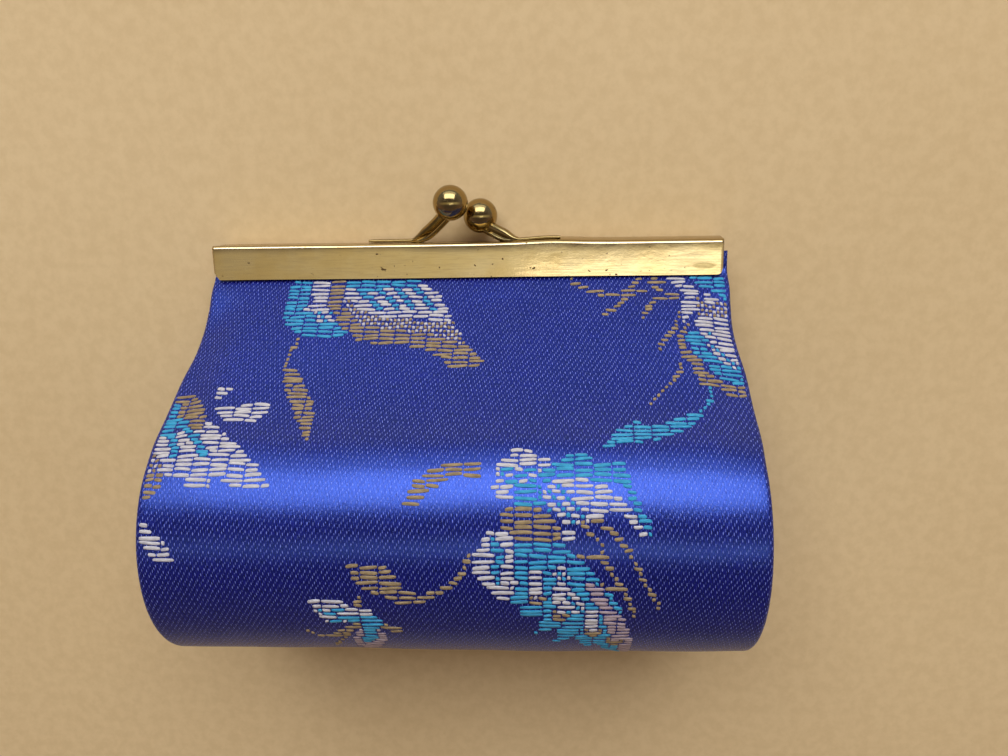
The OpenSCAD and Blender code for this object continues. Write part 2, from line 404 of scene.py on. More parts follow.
# The lattice of the satin's binding points: its two steps as (x, s).
SATIN_X = (0.78, 0.05)
SATIN_S = (0.24, 0.87)
DASH_WIDE, DASH_TALL = 0.065, 0.25
WARP_PITCH = 0.194
SATIN_DARK = (0.002, 0.001, 0.068)
SATIN_LIGHT = (0.008, 0.004, 0.205)
SATIN_DASH = (0.31, 0.36, 0.98)


def satin_specks(tree, x, s):
    """The satin's binding points: small upright specks on a slanted lattice."""
    det = SATIN_X[0] * SATIN_S[1] - SATIN_X[1] * SATIN_S[0]
    a = plus(tree, times(tree, x, SATIN_S[1] / det), times(tree, s, -SATIN_S[0] / det))
    b = plus(tree, times(tree, x, -SATIN_X[1] / det), times(tree, s, SATIN_X[0] / det))
    fa, fb = fraction(tree, a), fraction(tree, b)
    dx = plus(tree, times(tree, fa, SATIN_X[0]), times(tree, fb, SATIN_S[0]))
    ds = plus(tree, times(tree, fa, SATIN_X[1]), times(tree, fb, SATIN_S[1]))
    wide = math_node(tree, "POWER", math_node(tree, "DIVIDE", dx, DASH_WIDE), 2.0)
    tall = math_node(tree, "POWER", math_node(tree, "DIVIDE", ds, DASH_TALL), 2.0)
    return map_range(tree, plus(tree, wide, tall), 0.4, 1.3, 1.0, 0.0)


def brocade_material():
    """Royal blue warp satin: fine threads along s, with paler dashes where the weft binds."""
    material, tree, shader = new_material("brocade_satin")
    x, s, uv = weave_coords(tree)
    drift = noise(tree, uv, 1.0, 2.0, 0.5, (0.35, 0.22, 1))
    nudge = times(tree, math_node(tree, "SUBTRACT", drift, 0.5), 0.55)
    xn = plus(tree, x, nudge)
    dashes = satin_specks(tree, xn, s)
    half_x = plus(tree, xn, (SATIN_X[0] + SATIN_S[0]) / 2)
    half_s = plus(tree, s, (SATIN_X[1] + SATIN_S[1]) / 2)
    between = satin_specks(tree, half_x, half_s)
    streaks = noise(tree, uv, 1.0, 3.0, 0.7, (6.5, 0.9, 1))
    grain = noise(tree, uv, 1.0, 2.0, 0.6, (5.0, 2.2, 1))
    patchy = noise(tree, uv, 1.0, 2.0, 0.5, (0.11, 0.08, 1))
    threads = math_node(tree, "SINE", times(tree, x, 2 * math.pi / WARP_PITCH))
    tone = map_range(tree, streaks, 0.36, 0.64)
    ground = mix_colour(tree, tone, SATIN_DARK, SATIN_LIGHT)
    ground = mix_colour(tree, map_range(tree, patchy, 0.35, 0.65, 0.0, 0.3), ground, SATIN_DARK)
    amount = times(tree, dashes, map_range(tree, grain, 0.34, 0.60, 0.40, 1.0))
    second = times(tree, between, map_range(tree, grain, 0.42, 0.66, 0.05, 0.9))
    amount = math_node(tree, "MAXIMUM", amount, second)
    colour_from(tree, shader, amount, ground, SATIN_DASH)
    rough_from(tree, shader, map_range(tree, streaks, 0.2, 0.8, 0.22, 0.34))
    height = plus(tree, times(tree, threads, 0.14), plus(tree, streaks, times(tree, amount, 0.5)))
    bump_from(tree, shader, height, 0.05 * MM, 0.8)
    set_inputs(shader, IOR=2.2, Specular_IOR_Level=0.9, Specular_Tint=(0.12, 0.23, 1.0, 1), Anisotropic=0.5,
               Sheen_Weight=0.06, Sheen_Tint=(0.62, 0.42, 0.62, 1), Sheen_Roughness=0.35)
    across = add(tree, "ShaderNodeTangent", direction_type="UV_MAP", uv_map="weave")
    tree.links.new(across.outputs[0], shader.inputs["Tangent"])
    return material


def float_material(name, dark, light):
    """Rayon weft floats: several strands side by side along x, glossy, with darker valleys."""
    material, tree, shader = new_material(name)
    _, s, uv = weave_coords(tree)
    strands = math_node(tree, "SINE", times(tree, s, 2 * math.pi / 0.15))
    fibre = noise(tree, uv, 1.0, 3.0, 0.6, (1.1, 9.0, 1))
    patch = noise(tree, uv, 1.0, 1.0, 0.5, (0.6, 1.3, 1))
    tone = plus(tree, map_range(tree, fibre, 0.25, 0.75, 0.0, 0.75),
                map_range(tree, patch, 0.3, 0.7, -0.12, 0.25))
    colour_from(tree, shader, tone, dark, light)
    rough_from(tree, shader, map_range(tree, fibre, 0.2, 0.8, 0.36, 0.55))
    height = plus(tree, times(tree, strands, 0.4), fibre)
    bump_from(tree, shader, height, 0.05 * MM, 0.9)
    set_inputs(shader, Specular_IOR_Level=0.55, Sheen_Weight=0.15, Sheen_Roughness=0.4)
    return material


DENT_SHADE_X, DENT_SHADE_Y = 41.3, 23.7     # painted shade of a small dent on the front bar's face
DENT_SHADE_WIDE, DENT_SHADE_TALL = 2.1, 0.55


def brass_material(name, polish, deep=(0.69, 0.505, 0.245), pale=(0.77, 0.60, 0.345)):
    """Polished brass with fine scratches, handling marks, small tarnish specks and a scuffed patch, with
    painted shade along the upper edge and in a small dent on the bar's face.
    """
    material, tree, shader = new_material(name)
    where = object_coords(tree)
    scratch_long = noise(tree, where, 1.0, 2.0, 0.6, (260, 5200, 5200))
    scratch_cross = noise(tree, where, 1.0, 2.0, 0.6, (4200, 700, 3900))
    cloudy = noise(tree, where, 130, 3.0, 0.55)
    spots = noise(tree, where, 900, 2.0, 0.6)
    dust = noise(tree, where, 2600, 2.0, 0.6)
    tarnish = map_range(tree, spots, 0.69, 0.76)
    specks = map_range(tree, dust, 0.72, 0.78)
    marks = math_node(tree, "MAXIMUM", tarnish, specks)
    body = mix_colour(tree, map_range(tree, cloudy, 0.3, 0.7), deep, pale)
    split = add(tree, "ShaderNodeSeparateXYZ")
    tree.links.new(where, split.inputs[0])
    # Painted shade: the brass turns dark brown from just below the bars' top edge upwards, standing in for the
    # shade on the top face.
    painted_top_shade = map_range(tree, split.outputs[1], (BAR_TOP - 0.30) * MM, (BAR_TOP - 0.02) * MM, 0.0, 0.8)
    body = mix_colour(tree, painted_top_shade, body, (0.34, 0.245, 0.10))
    # Painted shade of a small dent: an oval on the front bar's face mixed towards dark brown.
    along, up = [
        math_node(tree, "DIVIDE", math_node(tree, "SUBTRACT", split.outputs[i], middle * MM), half * MM)
        for i, middle, half in ((0, DENT_SHADE_X, DENT_SHADE_WIDE), (1, DENT_SHADE_Y, DENT_SHADE_TALL))]
    off = plus(tree, math_node(tree, "POWER", along, 2.0), math_node(tree, "POWER", up, 2.0))
    on_face = map_range(tree, split.outputs[2], 7.9 * MM, 8.1 * MM, 0.0, 0.75)
    dent_shade = times(tree, map_range(tree, off, 0.5, 1.2, 1.0, 0.0), on_face)
    body = mix_colour(tree, dent_shade, body, (0.40, 0.31, 0.14))
    colour_from(tree, shader, marks, body, (0.20, 0.12, 0.05))
    rough = map_range(tree, scratch_long, 0.35, 0.75, polish, polish + 0.10)
    rough = plus(tree, rough, times(tree, marks, 0.3))
    rough = plus(tree, rough, map_range(tree, cloudy, 0.35, 0.8, 0.0, 0.07))
    rough_from(tree, shader, rough)
    height = plus(tree, times(tree, scratch_long, 0.15), times(tree, scratch_cross, 0.35))
    height = math_node(tree, "SUBTRACT", height, times(tree, marks, 0.5))
    scuffed = map_range(tree, split.outputs[0], 0.003, 0.012, 0.0, 0.22)
    mottle = noise(tree, where, 1.0, 3.0, 0.6, (420, 640, 640))
    waves = plus(tree, noise(tree, where, 75, 2.0, 0.5), times(tree, mottle, scuffed))
    dents = bump(tree, waves, 0.09 * MM)
    tree.links.new(bump(tree, height, 0.012 * MM, 0.6, dents), shader.inputs["Normal"])
    set_inputs(shader, Metallic=1.0)
    return material


def lining_material():
    """Plain taffeta: a fine even weave with a soft sheen."""
    material, tree, shader = new_material("lining_taffeta")
    x, s, uv = weave_coords(tree)
    warp = math_node(tree, "SINE", times(tree, x, 2 * math.pi / 0.32))
    weft = math_node(tree, "SINE", times(tree, s, 2 * math.pi / 0.36))
    weave = times(tree, warp, weft)
    slub = noise(tree, uv, 1.0, 3.0, 0.6, (0.35, 4.0, 1))
    tone = plus(tree, map_range(tree, slub, 0.25, 0.75, 0.0, 0.8), times(tree, weave, 0.15))
    colour_from(tree, shader, tone, (0.012, 0.016, 0.085), (0.03, 0.042, 0.19))
    rough_from(tree, shader, map_range(tree, slub, 0.2, 0.8, 0.5, 0.68))
    height = plus(tree, times(tree, weave, 0.5), slub)
    bump_from(tree, shader, height, 0.08 * MM, 0.8)
    set_inputs(shader, Sheen_Weight=0.3, Sheen_Roughness=0.5)
    return material


def fibre_material(name, dark, light, grain, roughness):
    """Matt fibres, for the board, the paper cord and the sewing thread."""
    material, tree, shader = new_material(name)
    where = object_coords(tree)
    flecks = noise(tree, where, 1.0, 4.0, 0.65, grain)
    colour_from(tree, shader, map_range(tree, flecks, 0.3, 0.7), dark, light)
    rough = map_range(tree, flecks, 0.2, 0.8, roughness - 0.1, roughness + 0.1)
    rough_from(tree, shader, rough)
    bump_from(tree, shader, flecks, 0.08 * MM, 0.8)
    return material


def table_material():
    """Matt tan table top with a faint paper grain."""
    material, tree, shader = new_material("pale_table")
    where = object_coords(tree)
    grain = noise(tree, where, 420, 4.0, 0.6)
    broad = noise(tree, where, 9, 2.0, 0.5)
    tone = plus(tree, map_range(tree, grain, 0.3, 0.7, 0.0, 0.6), map_range(tree, broad, 0.3, 0.7, 0.0, 0.4))
    colour_from(tree, shader, tone, (0.77, 0.535, 0.275), (0.87, 0.625, 0.343))
    set_inputs(shader, Roughness=0.75)
    bump_from(tree, shader, grain, 0.08 * MM, 0.5)
    return material


BROCADE = brocade_material()
CYAN = float_material("float_cyan", (0.006, 0.25, 0.52), (0.05, 0.54, 0.84))
WHITE = float_material("float_white", (0.50, 0.46, 0.50), (0.90, 0.84, 0.85))
ROSE = float_material("float_rose", (0.34, 0.24, 0.30), (0.66, 0.50, 0.52))
GOLD = float_material("float_gold", (0.22, 0.140, 0.062), (0.56, 0.395, 0.195))
BRASS = brass_material("brass_polished", 0.10)
BRASS_WORN = brass_material("brass_worn", 0.22)
# A darker brass for the balls and stems.
BRASS_DARKER = brass_material("brass_darker", 0.09, (0.42, 0.30, 0.125), (0.58, 0.43, 0.20))
TAFFETA = lining_material()
INTERLINING = fibre_material("board_interlining", (0.45, 0.38, 0.27), (0.66, 0.58, 0.45),
                             (900, 900, 900), 0.85)
KRAFT = fibre_material("paper_cord", (0.34, 0.24, 0.13), (0.55, 0.42, 0.26), (300, 2600, 2600), 0.8)
THREAD = fibre_material("sewing_thread", (0.012, 0.02, 0.22), (0.05, 0.08, 0.42), (3000, 3000, 3000), 0.5)

# ---- The strip: brocade folded round its board ----


def folded_section(wide):
    """The folded brocade's section as (x, share of the wall's depth), for a strip of half width wide."""
    bend = 0.9
    outer = [(-wide + bend - bend * math.sin(a), 0.5 - 0.5 * math.cos(a)) for a in np.linspace(math.pi, 0, 9)]
    face = [(x, 0.0) for x in np.linspace(-wide + bend, wide - bend, 76)[1:-1]]
    right = [(-x, d) for x, d in reversed(outer)]
    turned = [(wide - TURNING + 2.0, 1.0), (wide - TURNING, 1.0)]
    skin = CLOTH / WALL
    inner_right = [(wide - TURNING, 1 - skin), (wide - TURNING + 2.0, 1 - skin)]
    inner_bend = [(wide - bend + (bend - CLOTH) * math.sin(a), 0.5 + (0.5 - skin) * math.cos(a))
                  for a in np.linspace(0, math.pi, 7)]
    under = [(x, skin) for x in np.linspace(wide - bend, -wide + bend, 40)[1:-1]]
    inner_left = [(-x, d) for x, d in reversed(inner_bend)]
    close = [(-x, d) for x, d in reversed(turned + inner_right)]
    return outer + face + right + turned + inner_right + inner_bend + under + inner_left + close


def strip_part(name, s_from, s_to, step):
    """A length of the folded strip as one closed skin."""
    stations = np.linspace(s_from, s_to, max(2, int(round((s_to - s_from) / step))) + 1)
    stations = np.concatenate([stations[:1], [s_from + 0.04], stations[1:-1], [s_to - 0.04], stations[-1:]])
    section = np.array(folded_section(HALF_W))
    rings, uvs = [], []
    for s in stations:
        deep = float(wall_depth(s))
        x = section[:, 0] * float(strip_width(s))
        rings.append(cloth(x, s, section[:, 1] * deep) + [strip_shift(s), 0, 0])
        uvs.append(np.column_stack([section[:, 0], np.full(len(section), s)]))
    points, faces = loft(rings)
    return make_object(name, points, flip(faces), BROCADE, uv=np.concatenate(uvs))


def strip_width(s):
    """Share of its full width at s: the cloth bulges below the neck and is drawn in at the back bar."""
    bulge = smooth((s - 8) / 12) * (1 - smooth((s - S_TABLE + 4) / 12))
    neck = smooth((s - 14) / 8) * smooth((38 - s) / 8)
    back = smooth((s - S_MOUTH_BACK + 4.5) / 5.5)
    waist = math.exp(-((s - 15) / 7) ** 2)
    return 1 + 0.012 * bulge + 0.009 * neck - 0.014 * back - 0.006 * waist


def strip_shift(s):
    """How far the strip sits to the right at s."""
    return 0.5 * float(smooth((14 - s) / 12)) + 0.35 * math.exp(-((s - 15) / 7) ** 2)


def band_part(name, s_from, s_to, half, top, bottom, step, material):
    """A plain closed band inside the strip, between two depths that may depend on s."""
    stations = np.linspace(s_from, s_to, max(2, int(round((s_to - s_from) / step))) + 1)
    across = np.linspace(-half, half, 41)
    rings, uvs = [], []
    for s in stations:
        upper = cloth(across, s, top(s))
        lower = cloth(across[::-1], s, bottom(s))
        rings.append(np.concatenate([upper, lower]))
        both = np.concatenate([across, across[::-1]])
        uvs.append(np.column_stack([both, np.full(len(both), s)]))
    points, faces = loft(rings)
    return make_object(name, points, flip(faces), material, uv=np.concatenate(uvs))


def blend_cloth(obj):
    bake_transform(obj)


def make_strip():
    """The strip's brocade, board and lining, each as a front piece and a back piece."""
    front = strip_part("brocade_front", S_START, S_SPLIT, 0.8)
    back = strip_part("brocade_back", S_SPLIT, S_END - BACK_SHORT, 0.9)
    blend_cloth(front)
    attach(back, "pouch")
    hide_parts("body_brocade", "neck_brocade")
    top = lambda s: CLOTH + BOARD_GAP
    bottom = lambda s: WALL - CLOTH - BOARD_GAP
    board_front = band_part("board_front", BOARD_STOP, S_SPLIT, BOARD_HALF, top, bottom, 1.6,
                            INTERLINING)
    board_back = band_part("board_back", S_SPLIT, S_MOUTH_BACK - BOARD_STOP, BOARD_HALF, top, bottom, 1.6,
                           INTERLINING)
    blend_cloth(board_front)
    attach(board_back, "pouch")
    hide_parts("body_board", "neck_board")
    top = lambda s: float(wall_depth(s)) + 0.04
    bottom = lambda s: float(wall_depth(s)) + 0.04 + LINING
    lining_front = band_part("lining_front", LINING_STOP, S_SPLIT, LINING_HALF, top, bottom, 1.2,
                             TAFFETA)
    lining_back = band_part("lining_back", S_SPLIT, S_MOUTH_BACK - LINING_STOP, LINING_HALF, top, bottom, 1.2,
                            TAFFETA)
    blend_cloth(lining_front)
    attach(lining_back, "pouch")
    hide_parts("body_lining", "neck_lining")


make_strip()

# ---- Woven pattern: weft floats on a grid of cells ----

CELL_X = 0.66
CELL_S = 0.80
BIND = 4            # cells after which a float is bound down
FLOAT_GAP = 0.07
FLOAT_HEIGHT, FLOAT_HALF = 0.15, 0.30


def in_polygon(points, x, s):
    """True where (x, s) lies inside the outline."""
    inside = False
    j = len(points) - 1
    for i, (xi, si) in enumerate(points):
        xj, sj = points[j]
        if (si > s) != (sj > s) and x < (xj - xi) * (s - si) / (sj - si) + xi:
            inside = not inside
        j = i
    return inside


def in_oval(centre, size, x, s):
    u, v = (x - centre[0]) / size[0], (s - centre[1]) / size[1]
    return u * u + v * v < 1


def near_path(points, width, x, s):
    """True within width of a line through the points, for stalks and feelers."""
    for (ax, a_s), (bx, b_s) in zip(points, points[1:]):
        lx, ls = bx - ax, b_s - a_s
        t = max(0, min(1, ((x - ax) * lx + (s - a_s) * ls) / (lx * lx + ls * ls)))
        if math.hypot(x - ax - t * lx, s - a_s - t * ls) < width:
            return True
    return False


def patch(fill, *points):
    return (in_polygon, fill, points)


def oval(fill, centre, size):
    return (in_oval, fill, centre, size)


def stalk(fill, width, *points):
    return (near_path, fill, points, width)


# Each motif is a list of patches, ovals and stalks in (x, s); a later one covers an earlier one.
# Fills: c cyan, w white, g gold, cw and wg chequered, cd cyan with white dots.
WING = [
    patch("c", (-31, -1), (-27.2, -1), (-27.4, 3.5), (-27.2, 5.5), (-24.6, 6.4), (-22.4, 8), (-19.6, 10.2),
          (-20.4, 12.2), (-24, 12.4), (-28, 11.6), (-30.4, 9.6), (-31.8, 7), (-31.4, 4)),
    patch("w", (-27.6, 0.4), (-23.8, 0.4), (-23.6, 6.4), (-25.2, 7.2), (-28, 6.2), (-26.8, 4), (-27.6, 2)),
    patch("cw", (-25.6, 6.4), (-22.8, 6.6), (-22.4, 8.6), (-25.6, 8.8)),
    patch("w", (-21.4, 1.2), (-12, 0.4), (-7.6, 0.8), (-5, 3.2), (-2.8, 6.8), (-2, 9.2), (-7, 8.4),
          (-15, 8), (-19, 6), (-21.4, 3.6)),
    patch("c", (-21.4, -1), (-9, -1), (-7.8, 1), (-12, 1.7), (-18.6, 2.5), (-21.4, 1.6)),
    stalk("c", 0.5, (-19, 2), (-17, 4), (-15, 5.8)),
    stalk("c", 0.5, (-16.2, 1.6), (-14, 3.6), (-12.2, 5.8)),
    stalk("c", 0.5, (-13.2, 1.4), (-11, 3.6), (-9.2, 6)),
    stalk("c", 0.5, (-10, 1.2), (-7.6, 3.4), (-5.8, 6)),
    patch("wg", (-21.6, 3.6), (-19.4, 5.2), (-16, 7.6), (-10, 8.4), (-2.2, 9), (-0.4, 12), (0.2, 14),
          (-3, 12.8), (-8, 11.2), (-13, 10.8), (-18, 9.8), (-20.6, 7.2)),
    patch("g", (-24.4, -1), (-21.4, -1), (-21.6, 5), (-20, 7.4), (-17.4, 9.6), (-12, 10.8), (-7, 11),
          (-2.6, 12.8), (0.8, 14), (3.4, 17), (2.8, 18.6), (-2, 18.6), (-4, 16.4), (-7.6, 14.2),
          (-14.6, 13.6), (-17.8, 12.8), (-20.6, 10.2), (-22.2, 9), (-22.6, 6.8), (-24.4, 5.6)),
]
GOLD_LEAF = [
    stalk("g", 0.42, (-27.2, 12.2), (-28.1, 15), (-28, 18.6)),
    patch("g", (-28.1, 18.4), (-26.1, 18.4), (-24.2, 21), (-22.2, 24.8), (-20.9, 28.4), (-20.8, 34),
          (-21.6, 33.6), (-23.5, 29.6), (-25.7, 25.2), (-27.4, 21.8)),
]
LEFT_WING = [
    patch("g", (-44.6, 22.8), (-41.2, 23.2), (-39.4, 25.2), (-37.8, 28), (-37.2, 31), (-39.4, 32),
          (-41.4, 29.6), (-44.6, 27)),
    patch("w", (-46, 31), (-41.4, 31.6), (-39, 31.4), (-36.8, 30.6), (-34.4, 31.8), (-32, 33.8),
          (-30, 35.8), (-28, 38), (-25.8, 41.4), (-31.2, 41.6), (-34, 40), (-34.6, 41.8), (-37.8, 41.6),
          (-38.6, 40.2), (-42, 40), (-42.6, 37), (-46, 34.6)),
    patch("c", (-46, 24.4), (-42.6, 24.6), (-42.6, 27.6), (-40.4, 29.2), (-40.4, 30.6), (-43, 30),
          (-42.8, 31.6), (-44.2, 32.4), (-46, 31.6)),
    stalk("c", 0.62, (-43, 30.4), (-41.8, 33), (-40.8, 36)),
    stalk("c", 0.62, (-40.6, 30.4), (-38.2, 33), (-36.4, 36)),
    patch("wg", (-46, 34.8), (-42.8, 35.8), (-41.8, 39.6), (-46, 39.8)),
    patch("g", (-46, 39.6), (-41.6, 39.4), (-41.4, 41), (-42.6, 42.6), (-46, 43.8)),
    patch("w", (-37.2, 26.8), (-32.8, 25.9), (-28.4, 25.7), (-28.2, 27.7), (-30.2, 29.4), (-34.8, 29.4)),
    patch("w", (-37.4, 22.2), (-35.2, 22.2), (-35.4, 23.8), (-37.4, 24.8)),
    patch("w", (-37.6, 29.8), (-35.2, 30.2), (-35, 31.4), (-37.2, 31.2)),
]
WHITE_LEAF = [
    patch("w", (-46, 44), (-44.2, 45.8), (-41.2, 48.4), (-39.4, 50.6), (-38.8, 52.2), (-41.6, 52),
          (-43.6, 50.2), (-46, 47.2)),
]
SPRIG = [
    patch("g", (4.9, 37.6), (0.6, 37.6), (-3, 38.5), (-5.2, 40.6), (-6.8, 44.4), (-5, 44.4), (-2.6, 41.8),
          (0.2, 40.2), (4.9, 39.6)),
]
BUTTERFLY = [
    patch("w", (9.2, 35), (12, 35.4), (12.8, 36.4), (14.8, 37.4), (14.8, 38.6), (12, 40), (10.8, 41.4),
          (8.6, 42), (9.4, 43.6), (7, 43.6), (6.2, 41.4), (6.6, 39.4), (6.2, 37.6), (8.4, 36.6)),
    patch("cd", (7.4, 38.2), (13.2, 38.2), (13.2, 40.2), (10.8, 41.2), (7.6, 40.8)),
    patch("c", (15, 37.8), (16.6, 36.2), (19.4, 36.2), (20.6, 37.4), (24.6, 37.8), (25.8, 39.4),
          (25.4, 41.2), (22.6, 40.8), (18, 40.6), (12.8, 40.8), (13.2, 38.8)),
    patch("c", (9.4, 41), (13.4, 41), (13.4, 43.8), (9.2, 43.8)),
    patch("w", (15.4, 40), (19, 40.2), (22, 40.8), (24.4, 43), (26, 45), (28, 48), (27, 48.2), (24, 44.8),
          (22, 45), (20, 46.2), (18.2, 46.8), (16.2, 46), (13.4, 43.8), (13.2, 41.6)),
    patch("cw", (13.2, 41.4), (15.2, 40.4), (17.8, 41.6), (19.4, 46), (18.2, 46.8), (16, 46), (13.2, 44)),
    stalk("c", 0.62, (24.6, 39), (25.4, 42), (26.6, 44.4), (27.9, 47)),
    patch("g", (7.8, 44.2), (12.8, 44.2), (15.2, 45.6), (16.1, 47.4), (15.6, 48.8), (10.4, 49), (7.6, 48),
          (7.2, 46)),
    patch("w", (16, 46.8), (17.8, 47.6), (17.4, 49.2), (15.8, 49)),
    patch("w", (5.4, 46.8), (8.2, 47), (9.4, 48.4), (9.2, 53.4), (9.6, 54.8), (8.6, 57.6), (6.6, 58),
          (5.8, 56), (3.8, 54), (3, 51.6), (4.2, 49.6), (4.8, 48)),
    stalk("c", 0.62, (6.4, 49), (7.2, 50.4), (6.8, 52.6), (7, 54.6)),
    patch("c", (9.2, 48.8), (15.6, 48.8), (17.4, 50), (19.4, 52), (21, 54), (22.6, 57.6), (23.8, 60.4),
          (25, 65), (25.2, 74), (22.4, 70.8), (21, 68.2), (19.4, 69), (17.8, 65.4), (14.8, 67.4),
          (15, 63.4), (11.8, 64.8), (13.2, 61), (9.4, 61.2), (10.2, 59.2), (8.6, 57.8), (9.6, 54.8)),
    patch("cw", (14, 51.8), (16.2, 52.4), (18.6, 57), (19.4, 60.2), (17.4, 60.2), (15.4, 55.4)),
    patch("w", (11.4, 52.8), (13.4, 52.8), (13.4, 56.6), (11.4, 56.6)),
    oval("g", (12.4, 57.4), (1.3, 0.9)),
    oval("w", (12.4, 56.9), (0.5, 0.5)),
    patch("w", (14.7, 55.4), (16.6, 55.4), (16.8, 59.8), (14.9, 59.8)),
    oval("g", (15.8, 60.4), (1.5, 1.1)),
    oval("w", (15.8, 59.7), (0.6, 0.5)),
    patch("w", (19.2, 59.6), (20.9, 59.6), (21.2, 63.4), (19.4, 63.4)),
    oval("g", (20.3, 64.2), (1.5, 1.2)),
    oval("w", (20.3, 63.4), (0.6, 0.6)),
    patch("p", (18.6, 54), (20.6, 55), (22.2, 56), (22.8, 58.4), (24.6, 60.4), (25.8, 64), (26.4, 68),
          (26.4, 75), (25, 74), (24.2, 68), (22.6, 64), (21.2, 59.4), (20, 57.4)),
    stalk("c", 0.36, (21.4, 54.4), (23, 57.4), (24.2, 59.6)),
    oval("g", (23.6, 67), (1.4, 1.6)),
    oval("p", (23.8, 66.4), (0.6, 0.8)),
    stalk("g", 0.42, (20.3, 45.8), (22.4, 47), (24.4, 49), (25.9, 51.4), (27.7, 55.2), (29.4, 58.4)),
    stalk("g", 0.42, (18.8, 46.4), (20.9, 48.4), (21.6, 49.8), (21.2, 51), (22.4, 52.3), (24, 55),
          (25.6, 58), (26.1, 60)),
    stalk("g", 0.4, (18.2, 50.4), (19.4, 51.1), (22.4, 51.1)),
    stalk("g", 0.4, (21.2, 55), (24, 55.8)),
]
CURL = [
    patch("g", (-14.3, 52.4), (-8.3, 52.4), (-7.2, 54), (-6.2, 56), (-2.2, 56.9), (-3.4, 58.4),
          (-7.2, 58.2), (-10.2, 56.9), (-12.2, 55.7), (-13.6, 54.7)),
    stalk("g", 0.5, (-3.6, 57.2), (-1.2, 56.2), (0.6, 54.8), (2, 53), (2.8, 51)),
]
FLOWER = [
    stalk("g", 0.5, (-12.8, 57), (-13.6, 60)),
    stalk("g", 0.8, (-8, 63.8), (-11, 63.4), (-14.6, 63.6), (-17.2, 65.6)),
    stalk("g", 0.45, (-21.4, 64.4), (-20, 66.2), (-18, 66)),
    stalk("g", 0.45, (-15.6, 66), (-17.2, 68), (-18.4, 70.4)),
    patch("p", (-14, 64.2), (-15, 67), (-15, 70), (-13.8, 73), (-11.4, 71), (-10, 67), (-10.2, 64.8),
          (-11, 64)),
    patch("w", (-20.2, 57.6), (-15, 58), (-14.6, 59), (-11.6, 59), (-11, 60.6), (-13.4, 61.2),
          (-15.4, 61.4), (-17.4, 62.8), (-19, 61.2), (-20, 59)),
    patch("cd", (-19.2, 59), (-15.2, 59.4), (-14.4, 62), (-17.2, 62.8)),
    patch("c", (-15.6, 61), (-13.4, 60.6), (-10.6, 60.8), (-9.8, 62.4), (-11, 64.4), (-11.8, 68),
          (-14.2, 69.6), (-13.2, 64.8), (-13, 62.6), (-15.4, 62.4)),
]
RIGHT_WING = [
    stalk("g", 0.5, (18.4, 0.3), (19.8, 1.6), (21.8, 2.8), (25, 3.3), (28.4, 3.4), (30.8, 2.5)),
    stalk("g", 0.5, (27.6, 2.8), (29.4, 1.5), (30.4, 0.3)),
    stalk("g", 0.42, (27.8, 4.2), (26.6, 5.4), (25.4, 6.6), (23.6, 7.6)),
    stalk("g", 0.36, (33, 0.1), (31.9, 0.9), (34.2, 1.2), (32, 2.2), (33.8, 2.5)),
    stalk("g", 0.5, (36.4, 3.9), (33.8, 4), (32.2, 4.7), (31.2, 6.7), (30.2, 8.6)),
    stalk("g", 0.42, (36.4, 7.8), (35.2, 11), (33.8, 12.8), (32.3, 14.4)),
    stalk("g", 0.42, (35.2, 17.8), (34.6, 19.8), (32, 23.2), (29.8, 25.8)),
    patch("w", (34, -1), (37, -1), (38.4, 1.4), (40, 2.6), (39.9, 5.4), (38.6, 8), (37.2, 9.6), (36.4, 8.2),
          (36.6, 5.4), (37.6, 3.4), (35.4, 1.4)),
    patch("c", (37.4, -1), (46, -1), (46, 5.4), (44, 4.2), (42.4, 3), (39.8, 1.8)),
    patch("w", (40.4, 2.8), (42.2, 3.6), (42.6, 5.2), (40.8, 5.4)),
    patch("wg", (39.9, 3.2), (40.6, 5.4), (42.6, 5.2), (42.4, 4), (46, 5.6), (46, 8), (41.8, 7.8),
          (39, 8.2), (39.4, 5.4)),
    patch("w", (39, 8.8), (40.2, 7.8), (46, 8.2), (46, 19), (44.4, 18.4), (42.8, 16.4), (40.4, 13.2),
          (40.2, 10.9), (38.6, 10.4)),
    patch("c", (37.2, 10.8), (41.2, 10.8), (41, 12.6), (40, 14.6), (41.2, 16.2), (43.4, 16.8), (46, 18.8),
          (46, 22.8), (43.8, 21.3), (41, 20.8), (39.6, 19), (38.8, 17.1), (37.6, 15.8), (36.8, 13)),
    patch("cw", (38.8, 10.8), (41, 10.9), (41.4, 13), (44, 16.6), (45.6, 18.6), (43.6, 18.4), (41.4, 16.6),
          (39.8, 13.4)),
    patch("g", (38.6, 8.6), (36.8, 10.2), (35.6, 12), (35.2, 14.6), (35.8, 16.6), (36.8, 18.8), (37.6, 22),
          (39.8, 22), (41, 23), (41.6, 24), (46, 24), (44.2, 21.6), (40.8, 21), (39.2, 19.8), (38.4, 17),
          (37, 15.2), (36.7, 12.8), (37.6, 10.6)),
]
CYAN_LEAF = [
    stalk("c", 0.42, (39.2, 22.8), (38.9, 24.8), (37.9, 26.7), (36.6, 28.4)),
    patch("c", (37.7, 27.6), (37, 29), (35.8, 30.1), (34.8, 31.4), (32.2, 32.7), (30.2, 33.6), (27.6, 34.2),
          (26, 34.8), (24, 34.8), (22.2, 35.6), (22.9, 33.8), (24.4, 31.4), (26.8, 29.9), (31.6, 30.2),
          (32.6, 29.2), (35.4, 28.3)),
]


def moved(motif, along_x, along_s):
    """The motif's patches and stalks, shifted."""
    return [(test, fill, [(x + along_x, s + along_s) for x, s in points], *rest)
            for test, fill, points, *rest in motif]


